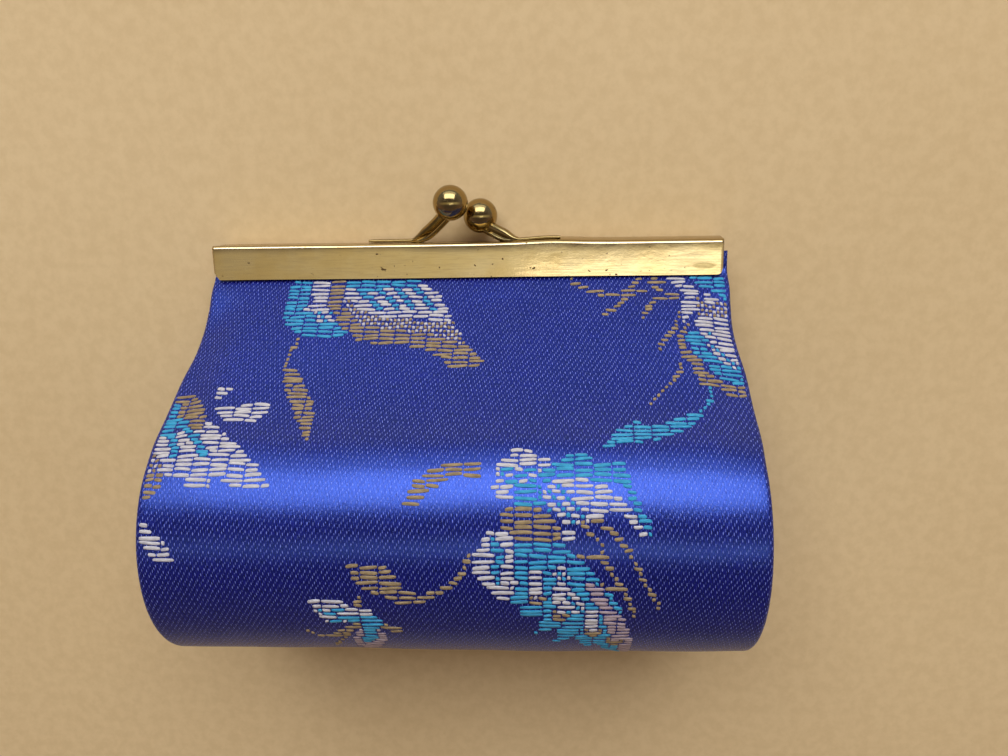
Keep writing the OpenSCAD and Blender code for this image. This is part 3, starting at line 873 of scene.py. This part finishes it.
MOTIFS = [moved(WING, 0.45, -0.1), GOLD_LEAF, LEFT_WING, WHITE_LEAF, SPRIG, BUTTERFLY, CURL, FLOWER,
          moved(RIGHT_WING, -0.4, 0.1), moved(CYAN_LEAF, -0.5, 0)]
REPEAT_S = 80.0


def fill_colour(fill, column, row):
    """The thread that shows in one cell of a fill."""
    if fill == "cw":
        return "c" if (column + 2 * row) % 3 == 2 else "w"
    if fill == "cd":
        return "w" if (column + 2 * row) % 5 < 2 else "c"
    if fill == "wg":
        return "w" if (column + row) % 2 else "g"
    return fill


def pattern(x, s, column, row):
    """The colour of the cell at (x, s), or None for plain satin. Past REPEAT_S it repeats mirrored."""
    if s > REPEAT_S:
        x, s = -x, s - REPEAT_S
    found = None
    for motif in MOTIFS:
        for test, fill, *place in motif:
            if test(*place, x, s):
                found = fill_colour(fill, column, row)
    return found


def cell_middle(column, row):
    return (column + 0.5) * CELL_X, (row + 0.5) * CELL_S


def float_runs(columns, rows):
    """Runs of cells of one colour: (colour, row, first column, cells). No run is longer than BIND cells."""
    runs = []
    for row in rows:
        shift = (row // 9) % BIND
        colour, first = None, 0
        for column in list(columns) + [None]:
            now = None if column is None else pattern(*cell_middle(column, row), column, row)
            if column is None or now != colour or (column + shift) % BIND == 0:
                if colour is not None:
                    end = columns[-1] + 1 if column is None else column
                    runs.append((colour, row, first, end - first))
                colour, first = now, column
    return merge_short(runs)


def merge_short(runs):
    """Joins a single cell to the run beside it when both show the same thread."""
    merged = []
    for run in runs:
        colour, row, first, cells = run
        before = merged[-1] if merged else run
        both = before[3] + cells
        beside = before[:2] == (colour, row) and before[2] + before[3] == first
        if beside and min(cells, before[3]) == 1 and both <= BIND + 1:
            merged[-1] = (colour, row, before[2], both)
        else:
            merged.append(run)
    return merged


FLOAT_ALONG = np.array([0.0, 0.05, 0.2, 0.5, 0.8, 0.95, 1.0])
FLOAT_LIFT = np.array([0.0, 0.45, 0.85, 1.0, 0.85, 0.45, 0.0])
FLOAT_WIDTH = np.array([0.45, 0.75, 0.95, 1.0, 0.95, 0.75, 0.45])
FLOAT_RING = [(-1.0, 0.0), (-0.8, 0.62), (-0.3, 1.0), (0.3, 1.0), (0.8, 0.62), (1.0, 0.0), (0.0, -0.35)]


def one_float(x0, x1, s, height, half):
    """One weft float from x0 to x1 at s, as a low rounded ridge."""
    lean = RNG.uniform(-0.11, 0.11)
    drift = 0.11 * math.sin(0.9 * x0 + 1.9 * s) + RNG.uniform(-0.05, 0.05)
    half *= RNG.uniform(0.85, 1.12)
    height *= RNG.uniform(0.8, 1.2)
    bow = RNG.uniform(-0.07, 0.07)
    rings, uvs = [], []
    for t, lift, wide in zip(FLOAT_ALONG, FLOAT_LIFT, FLOAT_WIDTH):
        x = x0 + (x1 - x0) * t
        middle = s + drift + lean * (t - 0.5) * 2 + bow * (1 - (2 * t - 1) ** 2)
        ss = np.array([middle + a * half * wide for a, _ in FLOAT_RING])
        lifts = np.array([-height * (0.25 + 0.75 * lift) * b for _, b in FLOAT_RING])
        rings.append(strip_place(np.full(len(ss), x), ss, lifts))
        uvs.append(np.column_stack([np.full(len(ss), x), ss]))
    points, faces = loft(rings)
    return points, faces, np.concatenate(uvs)


def settle(s):
    """How far a row of floats sits from its even place: the weft is beaten looser near the mouth."""
    return float(np.interp(s, [0, 5, 18, 30, 38, 44, 55], [0.3, 0.85, 0.8, 0.1, -0.5, -0.3, 0]))


def strip_place(x, s, depth):
    """Points on the strip with its change of width and its shift."""
    return cloth(x * np.array([float(strip_width(v)) for v in s]), s, depth) + [strip_shift(s[0]), 0, 0]


def make_floats():
    """All the floats of the strip, one object for each thread colour on its front and on its back."""
    half_columns = int((HALF_W - 0.5) / CELL_X)
    columns = range(-half_columns, half_columns)
    rows = range(int((S_MOUTH_BACK - 0.8) / CELL_S))
    split = S_SPLIT / CELL_S
    parts = {(c, side): [] for c in "cwgp" for side in ("front", "back")}
    for colour, row, first, cells in float_runs(columns, rows):
        x0 = first * CELL_X + FLOAT_GAP + RNG.uniform(-0.04, 0.04)
        x1 = (first + cells) * CELL_X - FLOAT_GAP + RNG.uniform(-0.04, 0.04)
        side = "front" if row < split - 1 else "back"
        s = (row + 0.5) * CELL_S
        points, faces, uvs = one_float(x0, x1, s + settle(s), FLOAT_HEIGHT, FLOAT_HALF)
        parts[colour, side].append((points, flip(faces), uvs))
    names = {"c": ("cyan", CYAN), "w": ("white", WHITE), "g": ("gold", GOLD), "p": ("rose", ROSE)}
    for (colour, side), made in parts.items():
        if not made:
            continue
        label, material = names[colour]
        points, faces, uvs = join_parts(made)
        obj = make_object(f"floats_{label}_{side}", points, faces, material, crease=None, uv=uvs)
        if side == "front":
            blend_cloth(obj)
        else:
            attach(obj, "pouch")


make_floats()

# ---- Side panels, gusset folds and their linings ----


def inner_z(y, deep, front):
    """Height of the strip's inner face at y, on its front (upper) or back (lower) run."""
    pick = (RUN > 0.2) & (RUN < belly_run(178)) if front else RUN > belly_run(192)
    points = LINE[pick] + deep * NORMAL_IN[pick]
    order = np.argsort(points[:, 0])
    return float(np.interp(y, points[order, 0], points[order, 1]))


def fold_z(y):
    """Height of the gusset's upper fold edge at y."""
    return FOLD_Z + FOLD_RISE * min(1.0, (y - FOLD_Y) * BEND_Y / (BEND_LONG - FOLD_RISE * BEND_Z))


def bend_start(deep):
    """Where the line on which the bend starts meets the strip's inner face, as (y, z)."""
    heights = np.linspace(FOLD_Z + 10, 2 * BELLY_R, 400)
    ys = FOLD_Y - (heights - FOLD_Z) * BEND_Z / BEND_Y
    gaps = [inner_z(y, deep, True) - z for y, z in zip(ys, heights)]
    at = int(np.argmax(np.array(gaps) < 0))
    return float(ys[at]), inner_z(float(ys[at]), deep, True)


def dish(y, z):
    """How far a side panel sinks inwards at (y, z)."""
    middle = math.exp(-((y + 12) / 17) ** 2 - ((z - 19) / 13) ** 2)
    crease = math.exp(-((z - FOLD_Z - max(0, -6 - y) * 0.35) / 2.4) ** 2) * smooth((y + 26) / 20)
    return float(0.9 * middle + 0.5 * crease)


def two_faces(flat, thickness, side, inset):
    """Points of a sheet's outer and inner face over flat points (y, z) of the side panel, and their uvs."""
    outer = np.array([(side * (SIDE_X - inset - dish(y, z)), y, z) for y, z in flat])
    inner = outer - [side * thickness, 0, 0]
    return np.concatenate([outer, inner]), np.concatenate([flat, flat]) + [SIDE_WEAVE_X, 0]


def panel_sheet(grid, thickness, side, inset):
    """A thin closed sheet over a grid of (y, z) rows, at the side panel's x."""
    rows, columns = len(grid), len(grid[0])
    flat = np.array(grid).reshape(-1, 2)
    points, uv = two_faces(flat, thickness, side, inset)
    faces = grid_faces(rows, columns)
    back = flip(grid_faces(rows, columns, start=len(flat)))
    edge = [r * columns for r in range(rows)]
    edge += [(rows - 1) * columns + c for c in range(1, columns)]
    edge += [r * columns + columns - 1 for r in range(rows - 2, -1, -1)]
    edge += [c for c in range(columns - 2, 0, -1)]
    n = len(flat)
    rim = [(a, a + n, b + n, b) for a, b in zip(edge, edge[1:] + edge[:1])]
    return points, faces + back + rim, uv


def body_panel_grid(deep):
    """Rings of (y, z) over the side panel behind the bend, from its middle to its edge."""
    radius = BELLY_R - deep
    top = bend_start(deep)
    arc_from = math.atan2(top[1] - BELLY_R, top[0] - BELLY_Y)
    arc_to = 2 * math.pi - math.acos((FOLD_Y - BELLY_Y) / radius)
    edge = [(BELLY_Y + radius * math.cos(a), BELLY_R + radius * math.sin(a))
            for a in np.linspace(arc_from, arc_to, 80)]
    edge[0] = top
    edge += [(FOLD_Y, FOLD_Z - 0.05)]
    edge += [(FOLD_Y * (1 - t) + top[0] * t, FOLD_Z * (1 - t) + top[1] * t)
             for t in np.linspace(0, 1, 16)[:-1]]
    centre = np.array([FOLD_Y - 4.0, BELLY_R - 1])
    return [centre + (np.array(edge) - centre) * k for k in np.linspace(0.04, 1, 16)]


def ring_sheet(rings, thickness, side, inset):
    """A thin closed sheet over rings of (y, z) round a middle point."""
    n = len(rings[0])
    flat = np.concatenate(rings)
    points, uv = two_faces(flat, thickness, side, inset)
    count = len(flat)
    faces = grid_faces(len(rings), n, True) + [tuple(range(n))[::-1]]
    back = flip(grid_faces(len(rings), n, True, start=count)) + [tuple(range(count, count + n))]
    first = count - n
    rim = [(first + (i + 1) % n, first + i, count + first + i, count + first + (i + 1) % n) for i in range(n)]
    return points, faces + back + flip(rim), uv


def make_side(side, label):
    """A side's brocade and lining, each as a panel that stays and a gusset, and its pleat."""
    layers = (("brocade", 0.0, PANEL_CLOTH, BROCADE, "side_brocade", "gusset_fold", WALL + 0.03),
              ("lining", 0.62, LINING, TAFFETA, "side_lining", "fold_lining", WALL + 0.06))
    outwards = (lambda faces: faces) if side > 0 else flip
    for name, inset, thick, material, body_node, fold_node, deep in layers:
        lower = []
        for y in np.linspace(FOLD_Y, MOUTH - 1.2, 44):
            low = inner_z(y, deep, False)
            lower.append([(y, low * (1 - t) + (FOLD_Z - 0.05) * t) for t in np.linspace(0, 1, 5)])
        points, faces, uv = join_parts([ring_sheet(body_panel_grid(deep), thick, side, inset),
                                        panel_sheet(lower, thick, side, inset)])
        panel = make_object(f"side_{name}_{label}_panel", points, outwards(faces), material, uv=uv)
        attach(panel, "pouch")
        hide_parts(f"{body_node}_{label}")
        points, faces, uv = panel_sheet(gusset_grid(deep), thick, side, inset)
        gusset = make_object(f"gusset_{name}_{label}", points, outwards(faces), material, uv=uv)
        blend_cloth(gusset)
        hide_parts(f"{fold_node}_{label}")
    make_pleat(side, label)


def deep_at(y, deep):
    """The wall's depth at y on the front run, which thins towards the bar."""
    last = int(np.argmax(LINE[:, 1]))
    s = float(np.interp(-y, -LINE[:last, 0], RUN[:last]))
    return float(wall_depth(s)) + deep - WALL


def gusset_grid(deep):
    """Rows of (y, z) from the line where the bend starts to the mouth, each from the fold up to the strip."""
    end, top = MOUTH - 1.6, bend_start(deep)
    rows = []
    for k in np.linspace(0, 1, 44):
        low_y = FOLD_Y + (end - FOLD_Y) * k
        high_y = top[0] + (end - top[0]) * k
        low = np.array([low_y, fold_z(low_y)])
        high = np.array([high_y, max(fold_z(high_y) + 0.05, inner_z(high_y, deep_at(high_y, deep), True))])
        rows.append([tuple(low + (high - low) * t) for t in np.linspace(0, 1, 16)])
    return rows


def make_pleat(side, label):
    """The gusset's inward fold: a thin double leaf between the two halves of the frame."""
    rings, uvs = [], []
    for y in np.linspace(FOLD_Y + 0.5, MOUTH - 1.4, 44):
        reach = 0.3 + 8.0 * ((y - FOLD_Y) / FOLD_SPAN) ** 1.5
        low, high = FOLD_Z - 0.05, fold_z(y)
        middle = (low + high) / 2
        x_edge = SIDE_X - 0.1 - dish(y, FOLD_Z)
        x_knee, x_in = x_edge - reach * 0.5, x_edge - reach
        knee_low, knee_high = low + (middle - low) * 0.35, high - (high - middle) * 0.35
        section = [(x_edge, low - 0.1), (x_knee, knee_low - 0.1), (x_in, middle - 0.12), (x_in - 0.25, middle),
                   (x_in, middle + 0.12), (x_knee, knee_high + 0.1), (x_edge, high + 0.1),
                   (x_edge, high - 0.06), (x_knee, knee_high - 0.06), (x_in + 0.2, middle),
                   (x_knee, knee_low + 0.06), (x_edge, low + 0.06)]
        rings.append([(side * a, y, b) for a, b in section])
        uvs.append([(SIDE_WEAVE_X + a, y) for a, _ in section])
    points, faces = loft(rings)
    pleat = make_object(f"gusset_pleat_{label}", points, faces if side < 0 else flip(faces), BROCADE,
                        uv=np.concatenate(uvs))
    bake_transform(pleat)


make_side(-1, "left")
make_side(1, "right")

# ---- Whip stitches ----


STITCH_PITCH = 1.9
THREAD_R = 0.13


def stitch(side, s, deep):
    """One small loop of thread from the strip's rounded edge over to the side panel."""
    slant = 0.55 + RNG.uniform(-0.1, 0.1)
    path = []
    for t in np.linspace(0, 1, 9):
        x = HALF_W - 0.55 - (HALF_W - 0.55 - SIDE_X + 0.15) * t
        lift = 0.34 * math.sin(math.pi * t)
        depth = deep + 0.10 + 0.55 * t + lift
        path.append(cloth(side * x, s + slant * (t - 0.5), depth))
    return tube(path, THREAD_R, 6)


def make_stitches(side, label):
    """A side's row of stitches, in a front piece and a back piece."""
    groups = {"front": [], "back": []}
    for i in range(int((S_MOUTH_BACK - 12) / STITCH_PITCH)):
        s = 5 + STITCH_PITCH * i + RNG.uniform(-0.12, 0.12)
        y = float(np.interp(s, RUN, LINE[:, 0]))
        group = "front" if s < S_SPLIT else "back"
        if abs(s - S_SPLIT) < 0.5 or y > MOUTH - 5:
            continue
        groups[group].append(stitch(side, s, float(wall_depth(s))))
    for group, made in groups.items():
        points, faces, _ = join_parts(made)
        obj = make_object(f"seam_thread_{label}_{group}", points, faces, THREAD, crease=None)
        if group == "front":
            blend_cloth(obj)
            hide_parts(f"seam_thread_{label}")
        else:
            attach(obj, "pouch")


make_stitches(-1, "left")
make_stitches(1, "right")

# ---- Frame: bars, packing cords, clasp ----


BAR_ROUND = 0.6
QUARTER = np.linspace(0, math.pi / 2, 9)


def bar_section(low, cut, flip_z):
    """A bar's section as (y, z), from its face wall's lip round the top to the other lip and back inside.

    low is the face's height, cut how much is taken off the face wall's lip.
    """
    height, depth, r = BAR_TOP - MOUTH, BAR_FACE - BAR_LOW[2], BAR_ROUND
    outer = [(cut, 0.28), (cut + 0.10, 0.0)]
    outer += [(height * k, 0.0) for k in (0.25, 0.5, 0.7)]
    outer += [(height - r + r * math.sin(a), r - r * math.cos(a)) for a in QUARTER]
    outer += [(height - r + r * math.cos(a), depth - r + r * math.sin(a)) for a in QUARTER]
    outer += [(height * k, depth) for k in (0.7, 0.5, 0.25)]
    outer += [(0.10, depth), (0.0, depth - 0.28), (0.08, depth - SHEET + 0.04)]
    q = r - SHEET + 0.1
    inner = [(height * k, depth - SHEET) for k in (0.2, 0.5, 0.7)]
    inner += [(height - SHEET - q + q * math.cos(a), depth - SHEET - q + q * math.sin(a))
              for a in QUARTER[::-2]]
    inner += [(height - SHEET - q + q * math.sin(a), SHEET + q - q * math.cos(a)) for a in QUARTER[::-2]]
    inner += [(height * k, SHEET) for k in (0.7, 0.5, 0.3)] + [(cut + 0.08, SHEET - 0.04)]
    section = np.array(outer + inner)
    y = MOUTH + section[:, 0]
    z = low - section[:, 1] if flip_z else low + section[:, 1]
    return y, z


def make_bar(name, face_z, front, body, node):
    """A pressed bar, slightly bent and dented by use, with its lower corners taken off."""
    left_end = -HALF_BAR + (0.4 if front else 0.0)
    stations = np.concatenate([
        np.linspace(left_end, left_end + 1.8, 13), np.linspace(left_end + 2.4, HALF_BAR - 4, 90),
        np.linspace(HALF_BAR - 3.2, HALF_BAR, 13)])
    rings = []
    for x in stations:
        left = max(0.0, 1 - (x - left_end) / 0.9) * 1.35
        from_right = min(1.0, max(0.0, (HALF_BAR - x) / 1.1))
        right = 1.1 * (1 - math.sqrt(max(0.0, 1 - (1 - from_right) ** 2)))
        cut = left + right if front else 1.1 * max(0.0, 1 - (HALF_BAR - abs(x)) / 1.1)
        y, z = bar_section(face_z, cut, front)
        end = min(1.0, (HALF_BAR - x) / 0.35, (x - left_end) / 0.35)
        pinch = 0.10 * (1 - math.sqrt(max(0.0, 1 - (1 - end) ** 2)))
        middle = (BAR_LOW[2] + BAR_HIGH[2]) / 2 if front else (BACK_LOW[2] + BACK_HIGH[2]) / 2
        z = middle + (z - middle) * (1 - pinch)
        wave = 0.02 + 0.02 * math.sin(x * 0.09 + 0.7) + 0.012 * math.sin(x * 0.23 + 2.0)
        share = (y - MOUTH) / (BAR_TOP - MOUTH)
        face = (1 if front else -1) * (np.abs(z - face_z) < 0.5)
        z = z + face * wave * np.sin(math.pi * np.clip(share, 0, 1)) - face * 0.03
        y = y + 0.03 * math.sin(x * 0.12)
        if front:
            behind = np.clip((face_z - z) / (BAR_FACE - BAR_LOW[2]), 0, 1)
            bent = 0.25 * math.exp(-((x - 15.5) / 5.5) ** 2) + 0.6 * smooth((x - 5) / 9) * behind
            y = y + np.clip(share, 0, 1) ** 3 * bent
        rings.append(np.column_stack([np.full(len(y), x), y, z]))
    points, faces = loft(rings)
    obj = make_object(name, points, faces if front else flip(faces), BRASS)
    sharpen(obj, 38)
    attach(obj, body)
    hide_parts(node)


def sharpen(obj, angle):
    """Smooth shading that keeps the edges sharper than angle."""
    obj.data.update()
    bpy.context.view_layer.objects.active = obj
    for other in bpy.context.selected_objects:
        other.select_set(False)
    obj.select_set(True)
    bpy.ops.object.shade_smooth_by_angle(angle=math.radians(angle))
    for modifier in list(obj.modifiers):
        bpy.ops.object.modifier_apply(modifier=modifier.name)
    obj.select_set(False)


make_bar("bar_front", BAR_FACE, True, "front_frame", "front_bar")
make_bar("bar_back", 0.0, False, "pouch", "back_bar")


CORD_TWIST = 1.5    # radians in a millimetre


def make_cord(name, node, body):
    """Two plies of twisted paper in a bar."""
    low, high = node_box(node)
    y, z = (low[1] + high[1]) / 2, (low[2] + high[2]) / 2
    radius = (high[2] - low[2]) / 4
    parts = []
    for ply in (0, math.pi):
        path = [(x, y + radius * math.cos(ply + x * CORD_TWIST), z + radius * math.sin(ply + x * CORD_TWIST))
                for x in np.linspace(low[0], high[0], 240)]
        parts.append(tube(path, radius * 0.98, 8))
    points, faces, _ = join_parts(parts)
    obj = make_object(name, points, faces, KRAFT)
    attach(obj, body)
    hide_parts(node)


make_cord("cord_front", "front_packing_cord", "front_frame")
make_cord("cord_back", "back_packing_cord", "pouch")


def make_ball(name, node, body, pole, lean_x, lean_y):
    """A ball of two pressed halves with a faint seam, turned on its stem's axis: its centre and radius."""
    low, high = node_box(node)
    centre = (np.array(low) + np.array(high)) / 2 + [lean_x, lean_y, 0]
    radius = (high[0] - low[0]) / 2 + 0.08
    axis = np.array(pole, float)
    axis /= np.linalg.norm(axis)
    side = np.cross(axis, [0, 0, 1])
    side /= np.linalg.norm(side)
    other = np.cross(axis, side)
    rings = []
    for a in np.linspace(0.02, math.pi - 0.02, 49):
        seam = 0.012 * math.exp(-((a - math.pi / 2) / 0.03) ** 2)
        r, h = (radius - seam) * math.sin(a), (radius - seam) * math.cos(a)
        turns = 2 * math.pi * np.arange(64) / 64
        rings.append(centre + h * axis + r * (np.cos(turns)[:, None] * side + np.sin(turns)[:, None] * other))
    points, faces = loft(rings)
    obj = make_object(name, points, flip(faces), BRASS_DARKER)
    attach(obj, body)
    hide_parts(node)
    return centre, radius


def stem_section(deep, thick, groove):
    """A folded strip's section as (z, out): a flat oval with a groove down its upper side."""
    section = []
    for a in 2 * math.pi * np.arange(36) / 36:
        c, s = math.cos(a), math.sin(a)
        up = deep / 2 * math.copysign(abs(c) ** 0.7, c)
        out = thick / 2 * math.copysign(abs(s) ** 0.7, s)
        if c > 0:
            up -= groove * math.exp(-((out - 0.12 * thick) / (0.13 * thick)) ** 2)
        section.append((up, out))
    return section


def make_stem(name, node, body, side, ball, ball_r, bar_z, foot_end, tip_up):
    """A pressed stem: a flat foot along the bar that narrows, folds and turns up to its ball."""
    foot_start, bend = 9.8, 7.3
    seat = BAR_TOP + 0.33
    goal = np.array(ball) + [side * 0.35, -0.5 * ball_r, 0]
    base = np.array([side * bend, seat + 0.7, bar_z])
    rise = goal - base
    path = [np.array([side * x, seat + tip_up * smooth((x - foot_start + 2) / 7), bar_z])
            for x in np.linspace(foot_end, foot_start, 10)]
    start = path[-1]
    pull = np.array([side * (foot_start - 2.2), seat + 0.1, bar_z])
    pull_goal = goal - rise * 0.5
    path += [cubic(start, pull, pull_goal, goal, t) for t in np.linspace(0, 1, 25)[1:]]
    path = np.array(path)
    ahead = np.gradient(path, axis=0)
    ahead /= np.linalg.norm(ahead, axis=1)[:, None]
    rings = []
    for i, (p, t) in enumerate(zip(path, ahead)):
        k = float(smooth((i - 8) / 12))
        deep = 2.4 * (1 - k) + 1.9 * k
        thick = 0.62 * (1 - k) + 2.45 * k
        if i == 0:
            deep, thick = deep * 0.9, thick * 0.8
        across = np.array([0, 0, 1.0]) - t * t[2]
        across /= np.linalg.norm(across)
        out = np.cross(t, across) * -side
        rings.append([p + a * across + b * out for a, b in stem_section(deep, thick, 0.42 * k)])
    points, faces = loft(rings)
    obj = make_object(name, points, faces, BRASS_DARKER)
    sharpen(obj, 50)
    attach(obj, body)
    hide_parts(node)


front_centre, ball_r = make_ball("ball_front", "front_ball", "front_frame", (-0.62, 0.6, -0.5), -0.45, -0.19)
back_centre, ball_r = make_ball("ball_back", "back_ball", "pouch", (0.62, 0.6, 0.5), 0.45, -0.14)
make_stem("stem_front", "front_stem", "front_frame", 1, front_centre, ball_r, (BAR_LOW[2] + BAR_HIGH[2]) / 2,
          16.8, 0.4)
make_stem("stem_back", "back_stem", "pouch", -1, back_centre, ball_r, (BACK_LOW[2] + BACK_HIGH[2]) / 2,
          17.5, 0.0)

for end in ("left", "right"):
    for kind in ("front_arm", "back_arm", "rivet"):
        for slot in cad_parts[f"{kind}_{end}"].material_slots:
            slot.material = BRASS_WORN

# ---- Table, light and camera ----


TABLE_HALF, TABLE_Z = 1200.0, -0.19


def make_table():
    corners = [(-1, -1), (1, -1), (1, 1), (-1, 1)]
    mesh = bpy.data.meshes.new("table")
    mesh.from_pydata([(x * TABLE_HALF * MM, y * TABLE_HALF * MM, TABLE_Z * MM) for x, y in corners],
                     [], [(0, 1, 2, 3)])
    mesh.materials.append(table_material())
    obj = bpy.data.objects.new("table", mesh)
    bpy.context.scene.collection.objects.link(obj)


def area_light(name, size, at, towards, power, colour, turn=0.0):
    data = bpy.data.lights.new(name, "AREA")
    data.shape = "RECTANGLE"
    data.size, data.size_y = size
    data.energy = power
    data.color = colour
    obj = bpy.data.objects.new(name, data)
    bpy.context.scene.collection.objects.link(obj)
    obj.location = at
    aim = Vector(towards) - Vector(at)
    obj.rotation_euler = aim.to_track_quat("-Z", "Y").to_euler()
    obj.rotation_euler.rotate_axis("Z", math.radians(turn))


def tilted(angle):
    """A place 1 m away, at the given angle from overhead towards the clasp."""
    a = math.radians(angle)
    return (0.0, math.sin(a), math.cos(a))


make_table()
area_light("window_upper", (1.15, 0.56), tilted(46), (0, 0, 0.02), 8.4, (0.93, 0.98, 1.0))
area_light("window_lower", (1.3, 0.24), tilted(71), (0, 0, 0.02), 1.0, (0.93, 0.97, 1.0))
area_light("ceiling_glow", (0.42, 0.12), (0.20, -0.085, 0.95), (0.20, -0.085, 0), 0.235, (1.0, 1.0, 0.96), 9)


def make_world():
    """A dim warm room that is lighter overhead and towards the window."""
    world = bpy.data.worlds.new("studio")
    world.use_nodes = True
    tree = world.node_tree
    background = tree.nodes["Background"]
    split = add(tree, "ShaderNodeSeparateXYZ")
    tree.links.new(add(tree, "ShaderNodeTexCoord").outputs["Generated"], split.inputs[0])
    overhead = map_range(tree, split.outputs[2], 0.1, 0.95)
    along = map_range(tree, split.outputs[0], -0.45, -0.05)
    ceiling = mix_colour(tree, along, (0.455, 0.40, 0.265), (0.77, 0.74, 0.56))
    side = map_range(tree, split.outputs[1], -0.7, 0.8)
    low_part = mix_colour(tree, side, (0.25, 0.15, 0.11), (0.26, 0.28, 0.32))
    aside = math_node(tree, "ABSOLUTE", plus(tree, split.outputs[1], 0.07))
    ceiling = mix_colour(tree, map_range(tree, aside, 0.05, 0.16), ceiling, (0.11, 0.09, 0.09))
    tree.links.new(mix_colour(tree, overhead, low_part, ceiling), background.inputs[0])
    background.inputs[1].default_value = 1.0
    bpy.context.scene.world = world


make_world()
bpy.context.scene.view_settings.view_transform = "Standard"

LENS = 27.0357143    # millimetres on a 36 mm wide sensor, from the photograph's perspective
camera_data = bpy.data.cameras.new("camera")
camera_data.sensor_width = 36
camera_data.lens = LENS
camera_data.clip_start = 0.01
camera = bpy.data.objects.new("camera", camera_data)
bpy.context.scene.collection.objects.link(camera)
camera.location = (0.0132, (BAR_TOP + 5.5) * MM, 0.140)
camera.rotation_euler = Euler((math.radians(-12.59), math.radians(2.61), math.radians(-0.92)), "XYZ")
bpy.context.scene.camera = camera
